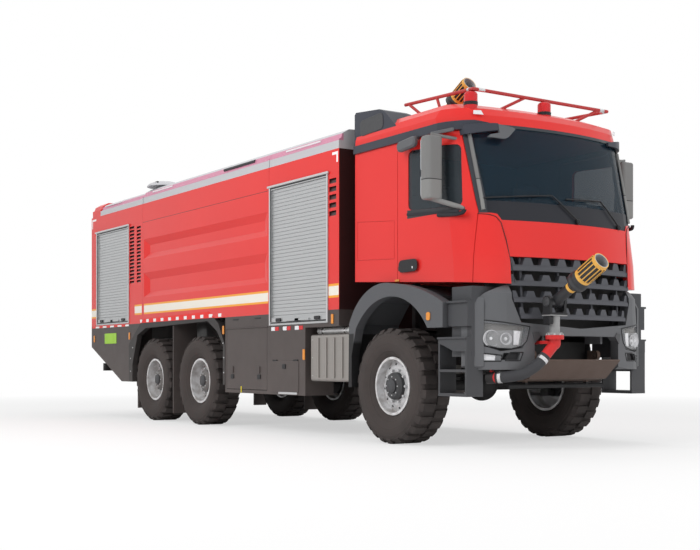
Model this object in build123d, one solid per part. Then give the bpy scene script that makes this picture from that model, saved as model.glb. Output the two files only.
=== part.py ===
"""Airport fire truck: a three-axle off-road chassis with a hollow cab, a water tank body
between two equipment lockers, a bumper turret and a roof turret.

Millimetres. +X points forward, +Y to the left, +Z up, and the ground is z = 0.
All places below are measured from the front axle; SHIFT_X at the end moves the origin to
the middle of the outline on the ground.
"""
from build123d import *
import math
import os

# Wheels and axles
AXLES = {"front": 0.0, "mid": -4362.0, "rear": -5812.0}
TRACK = 2100.0
TYRE_R = 587.0
TYRE_HALF = 192.0
LUG_COUNT = 26
LUG_DEPTH = 24.0
LUG_SHARE = 0.6      # part of each pitch that is lug
BEAD_R = 286.0
RIM_HALF = 135.0
RIM_WALL = 14.0
FLANGE_R = 297.0
RUN = 0.3            # running gap between a turning face and its seat
HUB_GAP = 10.0       # hub's inner face to the tyre's middle plane
HUB_R = 140.0
WHEEL_DISH = {"front": (75.0, 135.0), "mid": (21.0, 90.0), "rear": (21.0, 90.0)}   # disc and hub, out from the middle
KINGPIN_Y = TRACK / 2 - 120.0
PIN_R = 60.0
STEER_EYE = 70.0     # half height of the axle's kingpin eye
AXLE_R = 78.0
FRONT_AXLE_R = 55.0
DRUM_R = 205.0
DIFF_R = {"front": 170.0, "mid": 200.0, "rear": 200.0}

# Chassis
RAIL_IN, RAIL_OUT = 370.0, 450.0
RAIL_LOW, RAIL_TOP = 800.0, 1090.0
RAIL_FRONT, RAIL_BACK = 1150.0, -7950.0
RAIL_WALL = 10.0
SUBFRAME_TOP = 1190.0
CROSSMEMBERS = (-7700.0, -5087.0, -3300.0, -2600.0, 1040.0)
CAB_MOUNTS = (-620.0, 850.0)
TOW_PIN_R = 25.0
TOW_EYE_R = 22.0

# Body modules behind the cab
BODY_HALF = 1250.0
BODY_LOW = 1400.0
BODY_TOP = 3135.0
BELLY_HALF = 800.0
BODY_REAR = -8126.0
REAR_JOINT = -6100.0
FRONT_JOINT = -2400.0
BODY_FRONT = -885.0
SEAM = 2.0
ROOF_CREST = 3415.0
REAR_CAP = 380.0
SILL_LOW = 1219.0
SHUTTER_DEPTH = 45.0
SHUTTER_FRAME = 32.0
SLAT = 42.0          # pitch of the roller shutters' slats
SHUTTERS = {    # low x, high x, low z, high z on both sides
    "rear_locker": (-7900.0, -6600.0, 1415.0, 2870.0),
    "front_locker": (-2384.0, -1095.0, 1262.0, 2890.0),
}
BACK_SHUTTER = (900.0, 1440.0, 2860.0)       # half width, low z, high z
TROUGHS = (     # mouth's low and high z, floor's low and high z
    (2330.0, 2615.0, 2405.0, 2525.0),
    (1775.0, 2130.0, 1845.0, 2030.0),
)
TROUGH_DEPTH = 40.0
LOUVRES = {     # low x, high x, low z, high z, count
    "front": ((-1078.0, -939.0, 2407.0, 2847.0, 5),),
    "rear": ((-6584.0, -6415.0, 2000.0, 2860.0, 16), (-6323.0, -6177.0, 2000.0, 2840.0, 16)),
}
LOUVRE_DEPTH = 22.0
ARCH_OUT = ((-6603, 545), (-6603, 1100), (-6177, 1400), (-6050, 1460), (-3980, 1490), (-3700, 1330), (-3516, 1040),
            (-3516, 545))
ARCH_IN = ((-6471, 545), (-6471, 800), (-6286, 1232), (-5997, 1327), (-4010, 1368), (-3740, 1230), (-3572, 1049),
           (-3572, 545))
ARCH_DEPTH = 70.0
ARCH_LIP = 6.0
SKIRT_LOW = 452.0
SKIRT_FRONT = -1577.0
SKIRT_REAR = -3516.0
SKIRT_IN = 870.0
SKIRT_DOOR = (-3470.0, -2450.0, 500.0, 1250.0)      # low x, high x, low z, high z
PANEL = 20.0
LATCHES = (-3317.0, -2638.0)
BARREL_R = 6.0       # a lid's hinge barrel, its axis proud of the panel and past its edge
BARREL_OUT, BARREL_PAST = 5.0, 2.0
FLAP_AXIS = (-BODY_HALF - BARREL_OUT, SKIRT_DOOR[3] + BARREL_PAST)
SIDE_BOX = (-1501.0, -700.0, 618.0, 1138.0)         # silencer and fuel tank: low x, high x, low z, high z
SIDE_BOX_IN, SIDE_BOX_OUT = 800.0, BODY_HALF - 30.0
PIPE_R = 38.0

# Cab: nose position of the bowed front at each height
CAB_HALF = 1150.0
CAB_REAR = -720.0
CAB_WALL = 55.0
NOSE = {"roof": (3105.0, 1177.0), "glass": (2349.0, 1346.0), "cowl": (1820.0, 1430.0),
        "lamp": (1150.0, 1475.0), "low": (758.0, 1475.0)}
ROOF = (        # z, nose, half width, size of the plan's corners
    (NOSE["roof"][0] + RUN, 1177.0, CAB_HALF, 1.0),
    (3190.0, 1150.0, CAB_HALF - 5, 1.0),
    (3262.0, 1080.0, CAB_HALF - 30, 0.7),
    (3330.0, 905.0, CAB_HALF - 115, 0.4),
    (3378.0, 560.0, CAB_HALF - 260, 0.4),
)
BAND = (3046.0, 3128.0)      # black drip band along each side of the roof
BAND_OUT = 24.0
BAND_TIP = (1110.0, 725.0)   # nearest the middle of the windscreen: x, half width
HOOD_LOW, HOOD_TOP = 1820.0, 2165.0
HOOD_LOW_HALF, HOOD_TOP_HALF = 755.0, 830.0
SCREEN_TOP = 3075.0
SCREEN_LOW_HALF, SCREEN_TOP_HALF = 945.0, 988.0
CORNER_TOP = 2222.0
FLOOR = 1750.0
FLOOR_THICK = 60.0
SILL_REAR = 1687.0
SILL_SLOPE = 0.0594
DOOR_REAR, DOOR_FRONT = 50.0, 1140.0
DOOR_KNEE = 2250.0
DOOR_TOP, DOOR_TOP_FRONT = 3036.0, 930.0
DOOR_GAP = 6.0
DOOR_DEPTH = 230.0
HINGE_Y = -CAB_HALF + 60.0
DASH_ROOM = 190.0    # radius that the door's inner front corner sweeps about its hinge, with clearance
WINDOW = ((228.0, 2345.0), (1022.0, 2296.0), (948.0, 2905.0), (228.0, 2940.0))
WINDOW_CORNER = 60.0
GLASS = 8.0
HANDLE = (90.0, 380.0, 1745.0, 1795.0)       # low x, high x, low z, high z
HATCH = ((-674.0, 1913.0), (-10.0, 1882.0), (-10.0, 2264.0), (-674.0, 2317.0))
BUMPER_REAR = 1200.0
BUMPER_TOP = 1550.0
BUMPER_WALL = 90.0
GRILLE_HALF = 785.0
GRILLE_BARS = (     # low z, high z, half width, cut-outs
    (1690.0, 1815.0, GRILLE_HALF - RUN, 8),
    (1548.0, 1655.0, GRILLE_HALF - RUN, 8),
    (1392.0, 1500.0, 765.0, 8),
    (1238.0, 1345.0, 700.0, 8),
)
GRILLE_RIBS = (-640.0, -215.0, 215.0, 640.0)
HEADLAMP = ((1140, 1205), (652, 1165), (690, 960), (900, 930), (1060, 990))      # y, z on the left
FOG_LAMP = ((1120, 905), (935, 905), (945, 840), (1090, 840))
INTAKE = ((880, 915), (715, 915), (725, 850), (895, 850))
STEP_OUT = CAB_HALF + 65.0
STEP_IN = 1000.0

# Turrets
TURRET = (1600.0, -470.0)
TURRET_BASE = 1080.0
TURRET_PIVOT = 1389.0
ROOF_TURRET = (-600.0, -100.0)
ROOF_PIVOT = 3520.0
ROOF_BASE = 3388.0
TRUNNION = 75.0      # half width of the nozzle's trunnion
ELBOW_Z = 1000.0
HOSE_R = 52.0
HOSE_ROUTE = [(1574, -563.5, 890), (1552, -640, 800), (1480, -750, 715), (1380, -840, 692), (1270, -900, 686)]
NOZZLE_LEN = 685.0
ROOF_NOZZLE_LEN = 600.0
NOZZLE_TILT = 30.0
SLEEVE_RIBS = 14


def block(x, y, z):
    """Box between a low and a high value along each axis."""
    size = Box(x[1] - x[0], y[1] - y[0], z[1] - z[0])
    return Pos((x[0] + x[1]) / 2, (y[0] + y[1]) / 2, (z[0] + z[1]) / 2) * size


def side_slab(outline, y):
    """Outline of (x, z) points carried across from y[0] to y[1]."""
    face = make_face(Polyline(*[(px, y[0], pz) for px, pz in outline], close=True))
    return extrude(face, amount=y[1] - y[0], dir=(0, 1, 0))


def front_slab(outline, x):
    """Outline of (y, z) points carried forward from x[0] to x[1]."""
    face = make_face(Polyline(*[(x[0], py, pz) for py, pz in outline], close=True))
    return extrude(face, amount=x[1] - x[0], dir=(1, 0, 0))


def rod(start, end, radius):
    """Round bar from one point to another."""
    start, end = Vector(start), Vector(end)
    axis = end - start
    return Plane(start, z_dir=axis) * Cylinder(radius, axis.length, align=(Align.CENTER, Align.CENTER, Align.MIN))


def turned(profile, centre=(0, 0, 0)):
    """Profile of (y, radius) points turned about the wheel axis through centre (x, y, z)."""
    cx, cy, cz = centre
    face = make_face(Polyline(*[(cx, cy + py, cz + pr) for py, pr in profile], close=True))
    return revolve(face, axis=Axis((cx, 0, cz), (0, 1, 0)))


def mirrored(shape):
    """The same shape on the other side of the truck."""
    return mirror(shape, about=Plane.XZ)


def both(*shapes):
    """Each shape and its mirror image."""
    return [*shapes, *[mirrored(s) for s in shapes]]


def barrel(start, end):
    """Hinge barrel of a lid, along its edge."""
    return rod(start, end, BARREL_R)


def barrel_ends(start, end, reach=28.0):
    """Fixed stubs at both ends of a barrel, a running gap away."""
    start, end = Vector(start), Vector(end)
    way = (end - start).normalized()
    return rod(start - way * reach, start - way * RUN, BARREL_R) + rod(end + way * RUN, end + way * reach, BARREL_R)


# Wheels

def lug_row(inner):
    """Ring of shoulder lugs from y = inner out past the shoulder."""
    pitch = 2 * math.pi / LUG_COUNT
    root, tip = TYRE_R - 90, TYRE_R + 10
    star = []
    for i in range(LUG_COUNT):
        a, b = (i - LUG_SHARE / 2) * pitch, (i + LUG_SHARE / 2) * pitch
        star += [(root, a), (tip, a), (tip, b), (root, b)]
    outline = [(r * math.sin(a), -r * math.cos(a)) for r, a in star]
    teeth = side_slab(outline, (inner, TYRE_HALF))
    tread = TYRE_R - LUG_DEPTH
    ring = turned([(inner, tread - 8), (inner, TYRE_R), (TYRE_HALF - 42, TYRE_R), (TYRE_HALF - 6, TYRE_R - 42),
                   (TYRE_HALF - 32, TYRE_R - 80), (TYRE_HALF - 60, TYRE_R - 80)])
    return ring & teeth


def tyre_form():
    """Carcass with two rows of shoulder lugs, half a pitch apart, about the origin."""
    bead, tread = RIM_HALF - RIM_WALL - 1, TYRE_R - LUG_DEPTH
    shoulder = (TYRE_HALF - 22, tread - 10)
    lower = [(bead, 0, BEAD_R + RUN), (bead, 0, FLANGE_R + 3)]
    wall = [(py, 0, pr) for py, pr in ((bead, FLANGE_R + 3), (TYRE_HALF, 437), shoulder)]
    edges = []
    for s in (1, -1):
        a, b = [(0, s * p[0], p[2]) for p in lower]
        w = [(0, s * p[0], p[2]) for p in wall]
        edge = (0, s * (TYRE_HALF - 42), tread)
        edges += [Line(a, b), ThreePointArc(*w), Line(w[2], edge)]
    edges += [Line((0, TYRE_HALF - 42, tread), (0, 42 - TYRE_HALF, tread)), Line((0, bead, BEAD_R + RUN), (0, -bead, BEAD_R + RUN))]
    carcass = revolve(make_face(Wire(edges)), axis=Axis.Y)
    row = lug_row(10)
    other = Rot(0, 180 / LUG_COUNT, 0) * mirrored(row)
    return carcass + row + other


def rim_form(dish, hub_out):
    """Rim barrel with its flanges, a coned wheel disc at depth dish and a hub out to hub_out."""
    inner, well = RIM_HALF, BEAD_R - RIM_WALL
    barrel_in = [(-inner, FLANGE_R), (-inner, well), (inner, well), (inner, FLANGE_R), (inner - RIM_WALL, FLANGE_R),
                 (inner - RIM_WALL, BEAD_R), (RIM_WALL - inner, BEAD_R), (RIM_WALL - inner, FLANGE_R)]
    disc = [(dish, 0), (dish, 190), (dish - 34, well + 1), (dish - 52, well + 1), (dish - 16, 180), (dish - 16, 0)]
    hub = [(RUN - HUB_GAP, 0), (RUN - HUB_GAP, HUB_R), (hub_out - 25, HUB_R), (hub_out, HUB_R - 30), (hub_out, 0)]
    return turned(barrel_in) + turned(disc) + turned(hub)


def wheel_place(side, x):
    """Moves a form made about the origin, outside towards +Y, to its wheel."""
    turn = Rot(0, 0, 0) if side > 0 else Rot(0, 0, 180)
    return Pos(x, side * TRACK / 2, TYRE_R) * turn


def knuckle(side):
    """Fork about the axle's kingpin eye, with the spindle that carries the hub."""
    y0, y1 = KINGPIN_Y, TRACK / 2 - HUB_GAP
    reach = STEER_EYE + 60
    web = block((-PIN_R, PIN_R), (y0, y0 + PIN_R + 15), (TYRE_R - reach, TYRE_R + reach))
    ears = [Pos(0, y0, TYRE_R + s * (STEER_EYE + RUN + 30)) * Cylinder(PIN_R, 60) for s in (-1, 1)]
    space = block((-PIN_R - 15, PIN_R + 15), (y0 - 100, y0 + PIN_R + 4),
                  (TYRE_R - STEER_EYE - RUN, TYRE_R + STEER_EYE + RUN))
    spindle = rod((0, y0 + PIN_R, TYRE_R), (0, y1, TYRE_R), 75)
    arm = block((-220, -40), (y0 - 20, y0 + 20), (TYRE_R - reach, TYRE_R - reach + 30))
    whole = (web + ears[0] + ears[1] + arm) - space + spindle
    return whole if side > 0 else mirrored(whole)


def axles():
    """Front steering axle with kingpin eyes, and two plain driving axles with brake drums."""
    eye = Pos(0, KINGPIN_Y, TYRE_R) * Cylinder(PIN_R - 4, 2 * STEER_EYE)
    tube = rod((0, 30 - KINGPIN_Y, TYRE_R), (0, KINGPIN_Y - 30, TYRE_R), FRONT_AXLE_R)
    out = [tube + eye + mirrored(eye) + Pos(0, 0, TYRE_R) * Sphere(DIFF_R["front"])]
    end = TRACK / 2 - HUB_GAP
    for name in ("mid", "rear"):
        x = AXLES[name]
        body = rod((x, -end, TYRE_R), (x, end, TYRE_R), AXLE_R) + Pos(x, 0, TYRE_R) * Sphere(DIFF_R[name])
        drums = [rod((x, s * (end - 110), TYRE_R), (x, s * (end - 30), TYRE_R), DRUM_R) for s in (-1, 1)]
        out.append(body + drums[0] + drums[1])
    return out


# Chassis

def rail(s):
    """Channel rail with the sub-frame bar on it, on side s."""
    x, y_all = (RAIL_BACK, RAIL_FRONT), sorted((s * RAIL_OUT, s * RAIL_IN))
    web = block(x, sorted((s * RAIL_OUT, s * (RAIL_OUT - RAIL_WALL))), (RAIL_LOW, RAIL_TOP))
    low = block(x, y_all, (RAIL_LOW, RAIL_LOW + RAIL_WALL))
    top = block(x, y_all, (RAIL_TOP - RAIL_WALL, RAIL_TOP))
    return web + low + top + block((RAIL_BACK, BODY_FRONT), y_all, (RAIL_TOP, SUBFRAME_TOP))


def chassis_frame():
    """Two channel rails, a sub-frame bar on each, the crossmembers between and the cab's posts."""
    frame = rail(1) + rail(-1)
    inner = RAIL_OUT - RAIL_WALL / 2
    for x in CROSSMEMBERS:
        frame = frame + block((x - 50, x + 50), (-inner, inner), (RAIL_LOW + 60, RAIL_TOP - 60))
    for x in CAB_MOUNTS:
        post = block((x - 30, x + 30), (RAIL_IN + 5, RAIL_OUT - 5), (RAIL_TOP, FLOOR - FLOOR_THICK))
        frame = frame + post + mirrored(post)
    return [frame]


def suspension():
    """Front leaf packs in hangers under the rails, and the bogie's packs outside them."""
    y = (RAIL_IN + 5, RAIL_OUT - 5)
    seat = TYRE_R + FRONT_AXLE_R + RUN
    eye, thick, half = RAIL_LOW - 30, 32.0, 760.0
    spring = [(-half, eye), (-400, seat + 83), (0, seat + 58), (400, seat + 83), (half, eye)]
    under = [(px, pz - thick - 6 * (px == 0)) for px, pz in reversed(spring)]
    front = side_slab(spring + under, y) + block((-90, 90), y, (seat, seat + 38))
    for x in (-half, half):
        front = front + block((x - 40, x + 40), y, (eye - thick, RAIL_LOW))
    yb = (RAIL_OUT, RAIL_OUT + 100)
    mid = (AXLES["mid"] + AXLES["rear"]) / 2
    reach = (AXLES["mid"] - AXLES["rear"]) / 2 + 60
    top = TYRE_R + AXLE_R + RUN
    crown = [(-reach, 26), (-300, 80), (0, 95), (300, 80), (reach, 26)]
    belly = [(reach, 0), (300, 25), (0, -5), (-300, 25), (-reach, 0)]
    bogie = side_slab([(mid + px, top + pz) for px, pz in crown + belly], yb)
    return both(front, bogie + block((mid - 90, mid + 90), yb, (top - 25, RAIL_LOW + 200)))


def driveline():
    """Engine block, gearbox, transfer case, radiator and the shafts to the axles."""
    engine = block((-350, 950), (-340, 340), (900, 1560))
    gearbox = block((-1400, -350), (-230, 230), (820, 1150))
    case = block((-2250, -1400), (-260, 260), (640, 1150))
    radiator = block((1100, 1150), (-560, 560), (RAIL_TOP + 5, 1640)) + block((950, 1100), (-300, 300), (1150, 1500))
    balls = {k: Pos(x, 0, TYRE_R) * Sphere(DIFF_R[k] + RUN) for k, x in AXLES.items()}
    rear_shaft = rod((-2250, 0, 760), (AXLES["mid"] + 150, 0, TYRE_R + 40), 55) - balls["mid"]
    link = rod((AXLES["mid"] - 150, 0, TYRE_R + 20), (AXLES["rear"] + 150, 0, TYRE_R + 20), 50)
    link = link - balls["mid"] - balls["rear"]
    front_shaft = rod((-1400, 0, 740), (-120, 0, TYRE_R + 30), 50) - balls["front"]
    return [engine + gearbox + case + radiator, rear_shaft, link, front_shaft]


# Cab

def cab_plan(nose, half, rear, z, corner=1.0):
    """Plan outline at height z: flat back, straight sides, round corners, bowed front."""
    end = nose - 110
    right = [(rear, -half, z), (end - 380 * corner, -half, z), (end - 140 * corner, 110 * corner - half, z),
             (end, 310 * corner - half, z)]
    left = [(px, -py, z) for px, py, _ in right]
    edges = [Line(right[0], right[1]), ThreePointArc(right[1], right[2], right[3]),
             ThreePointArc(right[3], (nose, 0, z), left[3]), ThreePointArc(left[3], left[2], left[1]),
             Line(left[1], left[0]), Line(left[0], right[0])]
    return make_face(Wire(edges))


def cab_solid(inset, low, high):
    """Cab's outer form drawn in by inset, between two named heights."""
    levels = ["low", "lamp", "cowl", "glass", "roof"]
    first, last = levels.index(low), levels.index(high)
    whole = None
    for a, b in zip(levels[first:last], levels[first + 1:last + 1]):
        (za, na), (zb, nb) = NOSE[a], NOSE[b]
        base = cab_plan(na - inset, CAB_HALF - inset, CAB_REAR - 600, za)
        rise = Vector(nb - na, 0, zb - za)
        piece = extrude(base, amount=rise.length, dir=rise)
        whole = piece if whole is None else whole + piece
    behind = block((CAB_REAR - 900, CAB_REAR + inset), (-CAB_HALF - 50, CAB_HALF + 50), (0, ROOF[-1][0]))
    return whole - behind


def above_sill(shape):
    """Cut away all that lies under the cab's sloping lower edge."""
    x0, x1 = -1000.0, 1700.0
    z0, z1 = [SILL_REAR - (x - CAB_REAR) * SILL_SLOPE for x in (x0, x1)]
    return shape - side_slab([(x0, 500), (x1, 500), (x1, z1), (x0, z0)], (-CAB_HALF - 200, CAB_HALF + 200))


def door_region(grow):
    """Door's outline seen from the side, grown by a gap."""
    g = grow
    outline = [(DOOR_REAR - g, 1500), (DOOR_FRONT + g, 1500), (DOOR_FRONT + g, DOOR_KNEE), (DOOR_TOP_FRONT + g, DOOR_TOP + g),
               (DOOR_REAR - g, DOOR_TOP + g)]
    return side_slab(outline, (-CAB_HALF - 50, -CAB_HALF + DOOR_DEPTH + g))


def window_region(grow):
    """Door window's opening seen from the side, its corners rounded."""
    (x0, a), (x1, b), (x2, c), (x3, d) = WINDOW
    outline = [(x0 - grow, a - grow), (x1 + grow, b - grow), (x2 + grow, c + grow), (x3 - grow, d + grow)]
    opening = side_slab(outline, (-CAB_HALF - 50, -CAB_HALF + DOOR_DEPTH))
    return fillet(opening.edges().filter_by(Axis.Y), WINDOW_CORNER + grow)


def screen_gap(shrink):
    """Opening for cowl and windscreen seen from the front."""
    half = [(HOOD_TOP_HALF, HOOD_TOP), (HOOD_TOP_HALF + 35, CORNER_TOP), (SCREEN_LOW_HALF, CORNER_TOP + 15),
            (SCREEN_LOW_HALF, NOSE["glass"][0]), (SCREEN_TOP_HALF, SCREEN_TOP - shrink)]
    half = [(py - shrink, pz) for py, pz in half]
    return front_slab([(-py, pz) for py, pz in half] + half[::-1], (700, 1600))


def hood_gap(shrink):
    """Opening for the hood and, below it, the upper grille."""
    low = [(HOOD_LOW_HALF - shrink, HOOD_LOW), (HOOD_TOP_HALF - shrink, HOOD_TOP)]
    return front_slab([(-py, pz) for py, pz in low] + low[::-1], (900, 1600))


def hatch_region(grow):
    """Storage hatch behind the door, seen from the side."""
    (x0, a), (x1, b), (_, c), (_, d) = HATCH
    outline = [(x0 - grow, a - grow), (x1 + grow, b - grow), (x1 + grow, c + grow), (x0 - grow, d + grow)]
    return side_slab(outline, (-CAB_HALF - 50, -CAB_HALF + CAB_WALL))


def cab_floor():
    """Floor plate, cut back from the doors and from the swing of their front edges."""
    slab = block((-900, 1600), (-CAB_HALF - 50, CAB_HALF + 50), (FLOOR - FLOOR_THICK, FLOOR))
    beside = block((DOOR_REAR - 10, DOOR_FRONT + 10), (-CAB_HALF - 150, CAB_HALF + 150), (1600, 1900))
    floor = (cab_solid(CAB_WALL, "lamp", "roof") & slab) - beside
    floor = floor + (cab_solid(CAB_WALL + 10, "lamp", "roof") & slab & beside)
    return floor - block((900, 1600), (-GRILLE_HALF, GRILLE_HALF), (1500, 1800)) - hinge_room(115)


def hinge_room(radius):
    """Room for the doors' front edges to swing through, about both hinge lines."""
    post = Pos(DOOR_FRONT, HINGE_Y, 2300) * Cylinder(radius, 1600)
    return post + mirrored(post)


def cab_skin(outer, inner, low, high):
    """Layer of the cab between two depths under its outer face."""
    return cab_solid(outer, low, high) - cab_solid(inner, low, high)


def cab_parts():
    """Hollow cab split into shell, door, door glass, windscreen, cowl and hood."""
    wall = above_sill(cab_skin(0, CAB_WALL, "lamp", "roof"))
    grille_space = block((900, 1600), (-GRILLE_HALF, GRILLE_HALF), (1000, HOOD_LOW))
    shell = wall - grille_space - hood_gap(0) - screen_gap(0)
    door = (shell & door_region(0)) - window_region(0)
    x0, x1, z0, z1 = HANDLE
    handle = block((x0, x1), (-CAB_HALF - 24, 2 - CAB_HALF), (z0, z1))
    door = door + fillet(handle.edges().filter_by(Axis.Y), 14)
    opening = door_region(DOOR_GAP)
    panel_line = hatch_region(4) - hatch_region(0)
    panel_line = panel_line & block((-900, 900), (-CAB_HALF - 50, 8 - CAB_HALF), (1500, 2500))
    shell = shell - opening - mirrored(opening) - panel_line - mirrored(panel_line) + cab_floor()
    pane = cab_skin(GLASS, 2 * GLASS, "glass", "roof")
    windscreen = pane & screen_gap(RUN)
    side_pane = cab_skin(GLASS, 2 * GLASS, "cowl", "roof") & block((0, 1500), (-CAB_HALF, 350 - CAB_HALF), (2200, 3080))
    glass = side_pane & window_region(-RUN)
    below_glass = block((700, 1600), (-CAB_HALF, CAB_HALF), (1500, NOSE["glass"][0] - RUN))
    cowl = cab_skin(6, 36, "cowl", "roof") & screen_gap(RUN) & below_glass
    cowl = cowl & block((700, 1600), (-CAB_HALF, CAB_HALF), (HOOD_TOP + RUN, 3000))
    hood = cab_skin(0, CAB_WALL, "cowl", "glass") & hood_gap(RUN)
    return shell, door, glass, windscreen, cowl, hood


def cab_roof():
    """Red roof over the dark bands, drawn in towards its crest."""
    faces = [cab_plan(nose, half, CAB_REAR, z, corner) for z, nose, half, corner in ROOF]
    return [loft(faces, ruled=True)]


def roof_trim():
    """Dark drip band along each side of the roof and the two roof pods."""
    z0, z1 = BAND
    nose = NOSE["roof"][1] + 14
    outer = extrude(cab_plan(nose + BAND_OUT, CAB_HALF + BAND_OUT, CAB_REAR, z0), amount=z1 - z0)
    inner = extrude(cab_plan(nose + RUN, CAB_HALF + RUN, CAB_REAR - 10, z0), amount=z1 - z0)
    tip_x, tip_y = BAND_TIP
    ahead = block((800, 1600), (-tip_y, tip_y), (z0, z1))
    ramp = front_slab([(-tip_y - 260, z1 + 1), (-tip_y, z0 + 35), (-tip_y, z1 + 1)], (tip_x - 160, 1600))
    band = (outer - inner - ahead) & block((CAB_REAR, 1600), (-CAB_HALF - 50, 0), (z0, z1))
    band = band - ramp
    pod = side_slab([(-760, 3150), (60, 3132), (0, 3230), (-215, 3425), (-300, 3458), (-735, 3498), (-760, 3475)],
                    (20 - CAB_HALF, 370 - CAB_HALF))
    pod = pod - cab_roof()[0]
    return both(band, pod)


def toothed_bar(low, high, half, count):
    """Bar outline with trapezoid cut-outs along its upper edge."""
    pitch = 2 * half / count
    mouth, floor, depth = 0.33 * pitch, 0.2 * pitch, 0.55 * (high - low)
    outline = [(-half, low), (half, low), (half, high)]
    for i in range(count):
        y = half - (i + 0.5) * pitch
        outline += [(y + mouth, high), (y + floor, high - depth), (y - floor, high - depth), (y - mouth, high)]
    return outline + [(-half, high)]


def grille():
    """Four toothed bars that follow the cab's bow, on upright ribs behind them."""
    face = cab_skin(12, 60, "lamp", "cowl")
    lip = cab_skin(0, 30, "lamp", "cowl")
    back = cab_skin(50, 80, "lamp", "cowl")
    low, high = GRILLE_BARS[-1][0], GRILLE_BARS[0][1]
    ribs = [back & block((900, 1600), (y - 12, y + 12), (low, high)) for y in GRILLE_RIBS]
    whole = ribs[0] + ribs[1] + ribs[2] + ribs[3]
    for z0, z1, half, count in GRILLE_BARS:
        bar = face & front_slab(toothed_bar(z0, z1, half, count), (900, 1600))
        ledge = lip & block((900, 1600), (-half, half), (z0, z0 + 0.34 * (z1 - z0)))
        whole = whole + bar + ledge
    beside = block((900, 1600), (-900, 900), (1000, BUMPER_TOP + 2)) - grille_gap(-RUN)
    return [whole - beside]


def grille_gap(grow):
    """Opening in the bumper's upper edge for the lower grille."""
    half, low = GRILLE_HALF + grow, 1150 - grow
    outline = [(-half, 1700), (half, 1700), (half, 1420), (half - 85, low + 50), (0, low), (85 - half, low + 50),
               (-half, 1420)]
    return front_slab(outline, (900, 1700))


def lamp_prism(outline, s):
    """Lamp or intake outline of (y, z) points carried forward through the bumper, on side s."""
    return front_slab([(s * py, pz) for py, pz in outline], (BUMPER_REAR + 5, 1600))


def bumper():
    """Bumper cover with shoulder and chin, lamp pockets, intakes and the central recess."""
    low, high = NOSE["low"][0], BUMPER_TOP
    (lamp_z, nose), (cowl_z, cowl_nose) = NOSE["lamp"], NOSE["cowl"]
    lean = (nose - cowl_nose) / (cowl_z - lamp_z)
    shoulder, chamfer_in = high - 75, 32
    at_shoulder, at_top = [nose - lean * (z - lamp_z) for z in (shoulder, high)]
    edges = [cab_plan(at_shoulder, CAB_HALF, CAB_REAR, shoulder),
             cab_plan(at_top - chamfer_in, CAB_HALF - chamfer_in, CAB_REAR, high)]
    outer = cab_solid(0, "low", "cowl") & block((0, 1600), (-CAB_HALF - 50, CAB_HALF + 50), (low, shoulder))
    cover = (outer + loft(edges, ruled=True)) - cab_solid(BUMPER_WALL, "low", "cowl")
    cover = cover & block((BUMPER_REAR, 1600), (-CAB_HALF - 50, CAB_HALF + 50), (low, high))
    chin = side_slab([(1385, low - 1), (1600, low - 1), (1600, low + 60), (1470, low + 60)], (-CAB_HALF, CAB_HALF))
    recess = [(-560, 700), (560, 700), (560, 1040), (500, 1080), (-500, 1080), (-560, 1040)]
    slope = side_slab([(1000, 1440), (BUMPER_REAR, 1440), (BUMPER_REAR + 105, high + 6), (1000, 1600)],
                      (-CAB_HALF - 50, CAB_HALF + 50))
    cover = cover - grille_gap(0) - front_slab(recess, (1000, 1700)) - chin - slope
    for s in (-1, 1):
        cover = cover - (lamp_prism(HEADLAMP, s) & cab_skin(0, 70, "low", "cowl"))
        cover = cover - (lamp_prism(FOG_LAMP, s) & cab_skin(0, 45, "low", "cowl"))
        cover = cover - (lamp_prism(INTAKE, s) & cab_skin(0, 60, "low", "cowl"))
    arm = block((RAIL_FRONT, 1400), (RAIL_IN + 5, RAIL_OUT - 45), (1010, 1150)) & cab_solid(BUMPER_WALL - 5, "low", "cowl")
    return [cover + arm + mirrored(arm)]


def head_lamps():
    """Headlamp lenses with two reflector rings behind each, and the fog lamps, in the bumper's pockets."""
    out = []
    behind = cab_skin(10, 70 - RUN, "low", "cowl")
    for s in (-1, 1):
        whole = cab_skin(4, 10, "low", "cowl") & lamp_prism(HEADLAMP, s)
        for y, z, radius in ((965, 1085, 78), (810, 1065, 58)):
            ring = rod((1100, s * y, z), (1600, s * y, z), radius) - rod((1090, s * y, z), (1610, s * y, z), radius - 12)
            whole = whole + (ring & behind & lamp_prism(HEADLAMP, s))
        out += [whole, cab_skin(4, 45 - RUN, "low", "cowl") & lamp_prism(FOG_LAMP, s)]
    return out


def front_fenders():
    """Arch flares over the front wheels with their splash liners."""
    y = (-BODY_HALF, -CAB_HALF)
    edges = [Line((-700, 567), (-690, 1230)), ThreePointArc((-690, 1230), (-420, 1530), (100, 1618)),
             ThreePointArc((100, 1618), (520, 1548), (905, 1400)), Line((905, 1400), (905, 1160)),
             Line((905, 1160), (668, 1160)), ThreePointArc((668, 1160), (60, 1492), (-560, 1180)),
             Line((-560, 1180), (-640, 900)), Line((-640, 900), (-640, 567)), Line((-640, 567), (-700, 567))]
    face = Plane.XZ * make_face(Wire(edges))
    flare = Pos(0, y[1], 0) * extrude(face, amount=y[1] - y[0])
    crown = [(-700, 1240), (-500, 1490), (0, 1600), (400, 1560), (560, 1480)]
    under = [(560, 1460), (400, 1530), (0, 1570), (-480, 1460), (-680, 1230)]
    liner = side_slab(crown + under, (-CAB_HALF, -600))
    apron = block((-700, -685), (-CAB_HALF, -600), (700, 1235))
    return both(flare + liner + apron)


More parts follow.
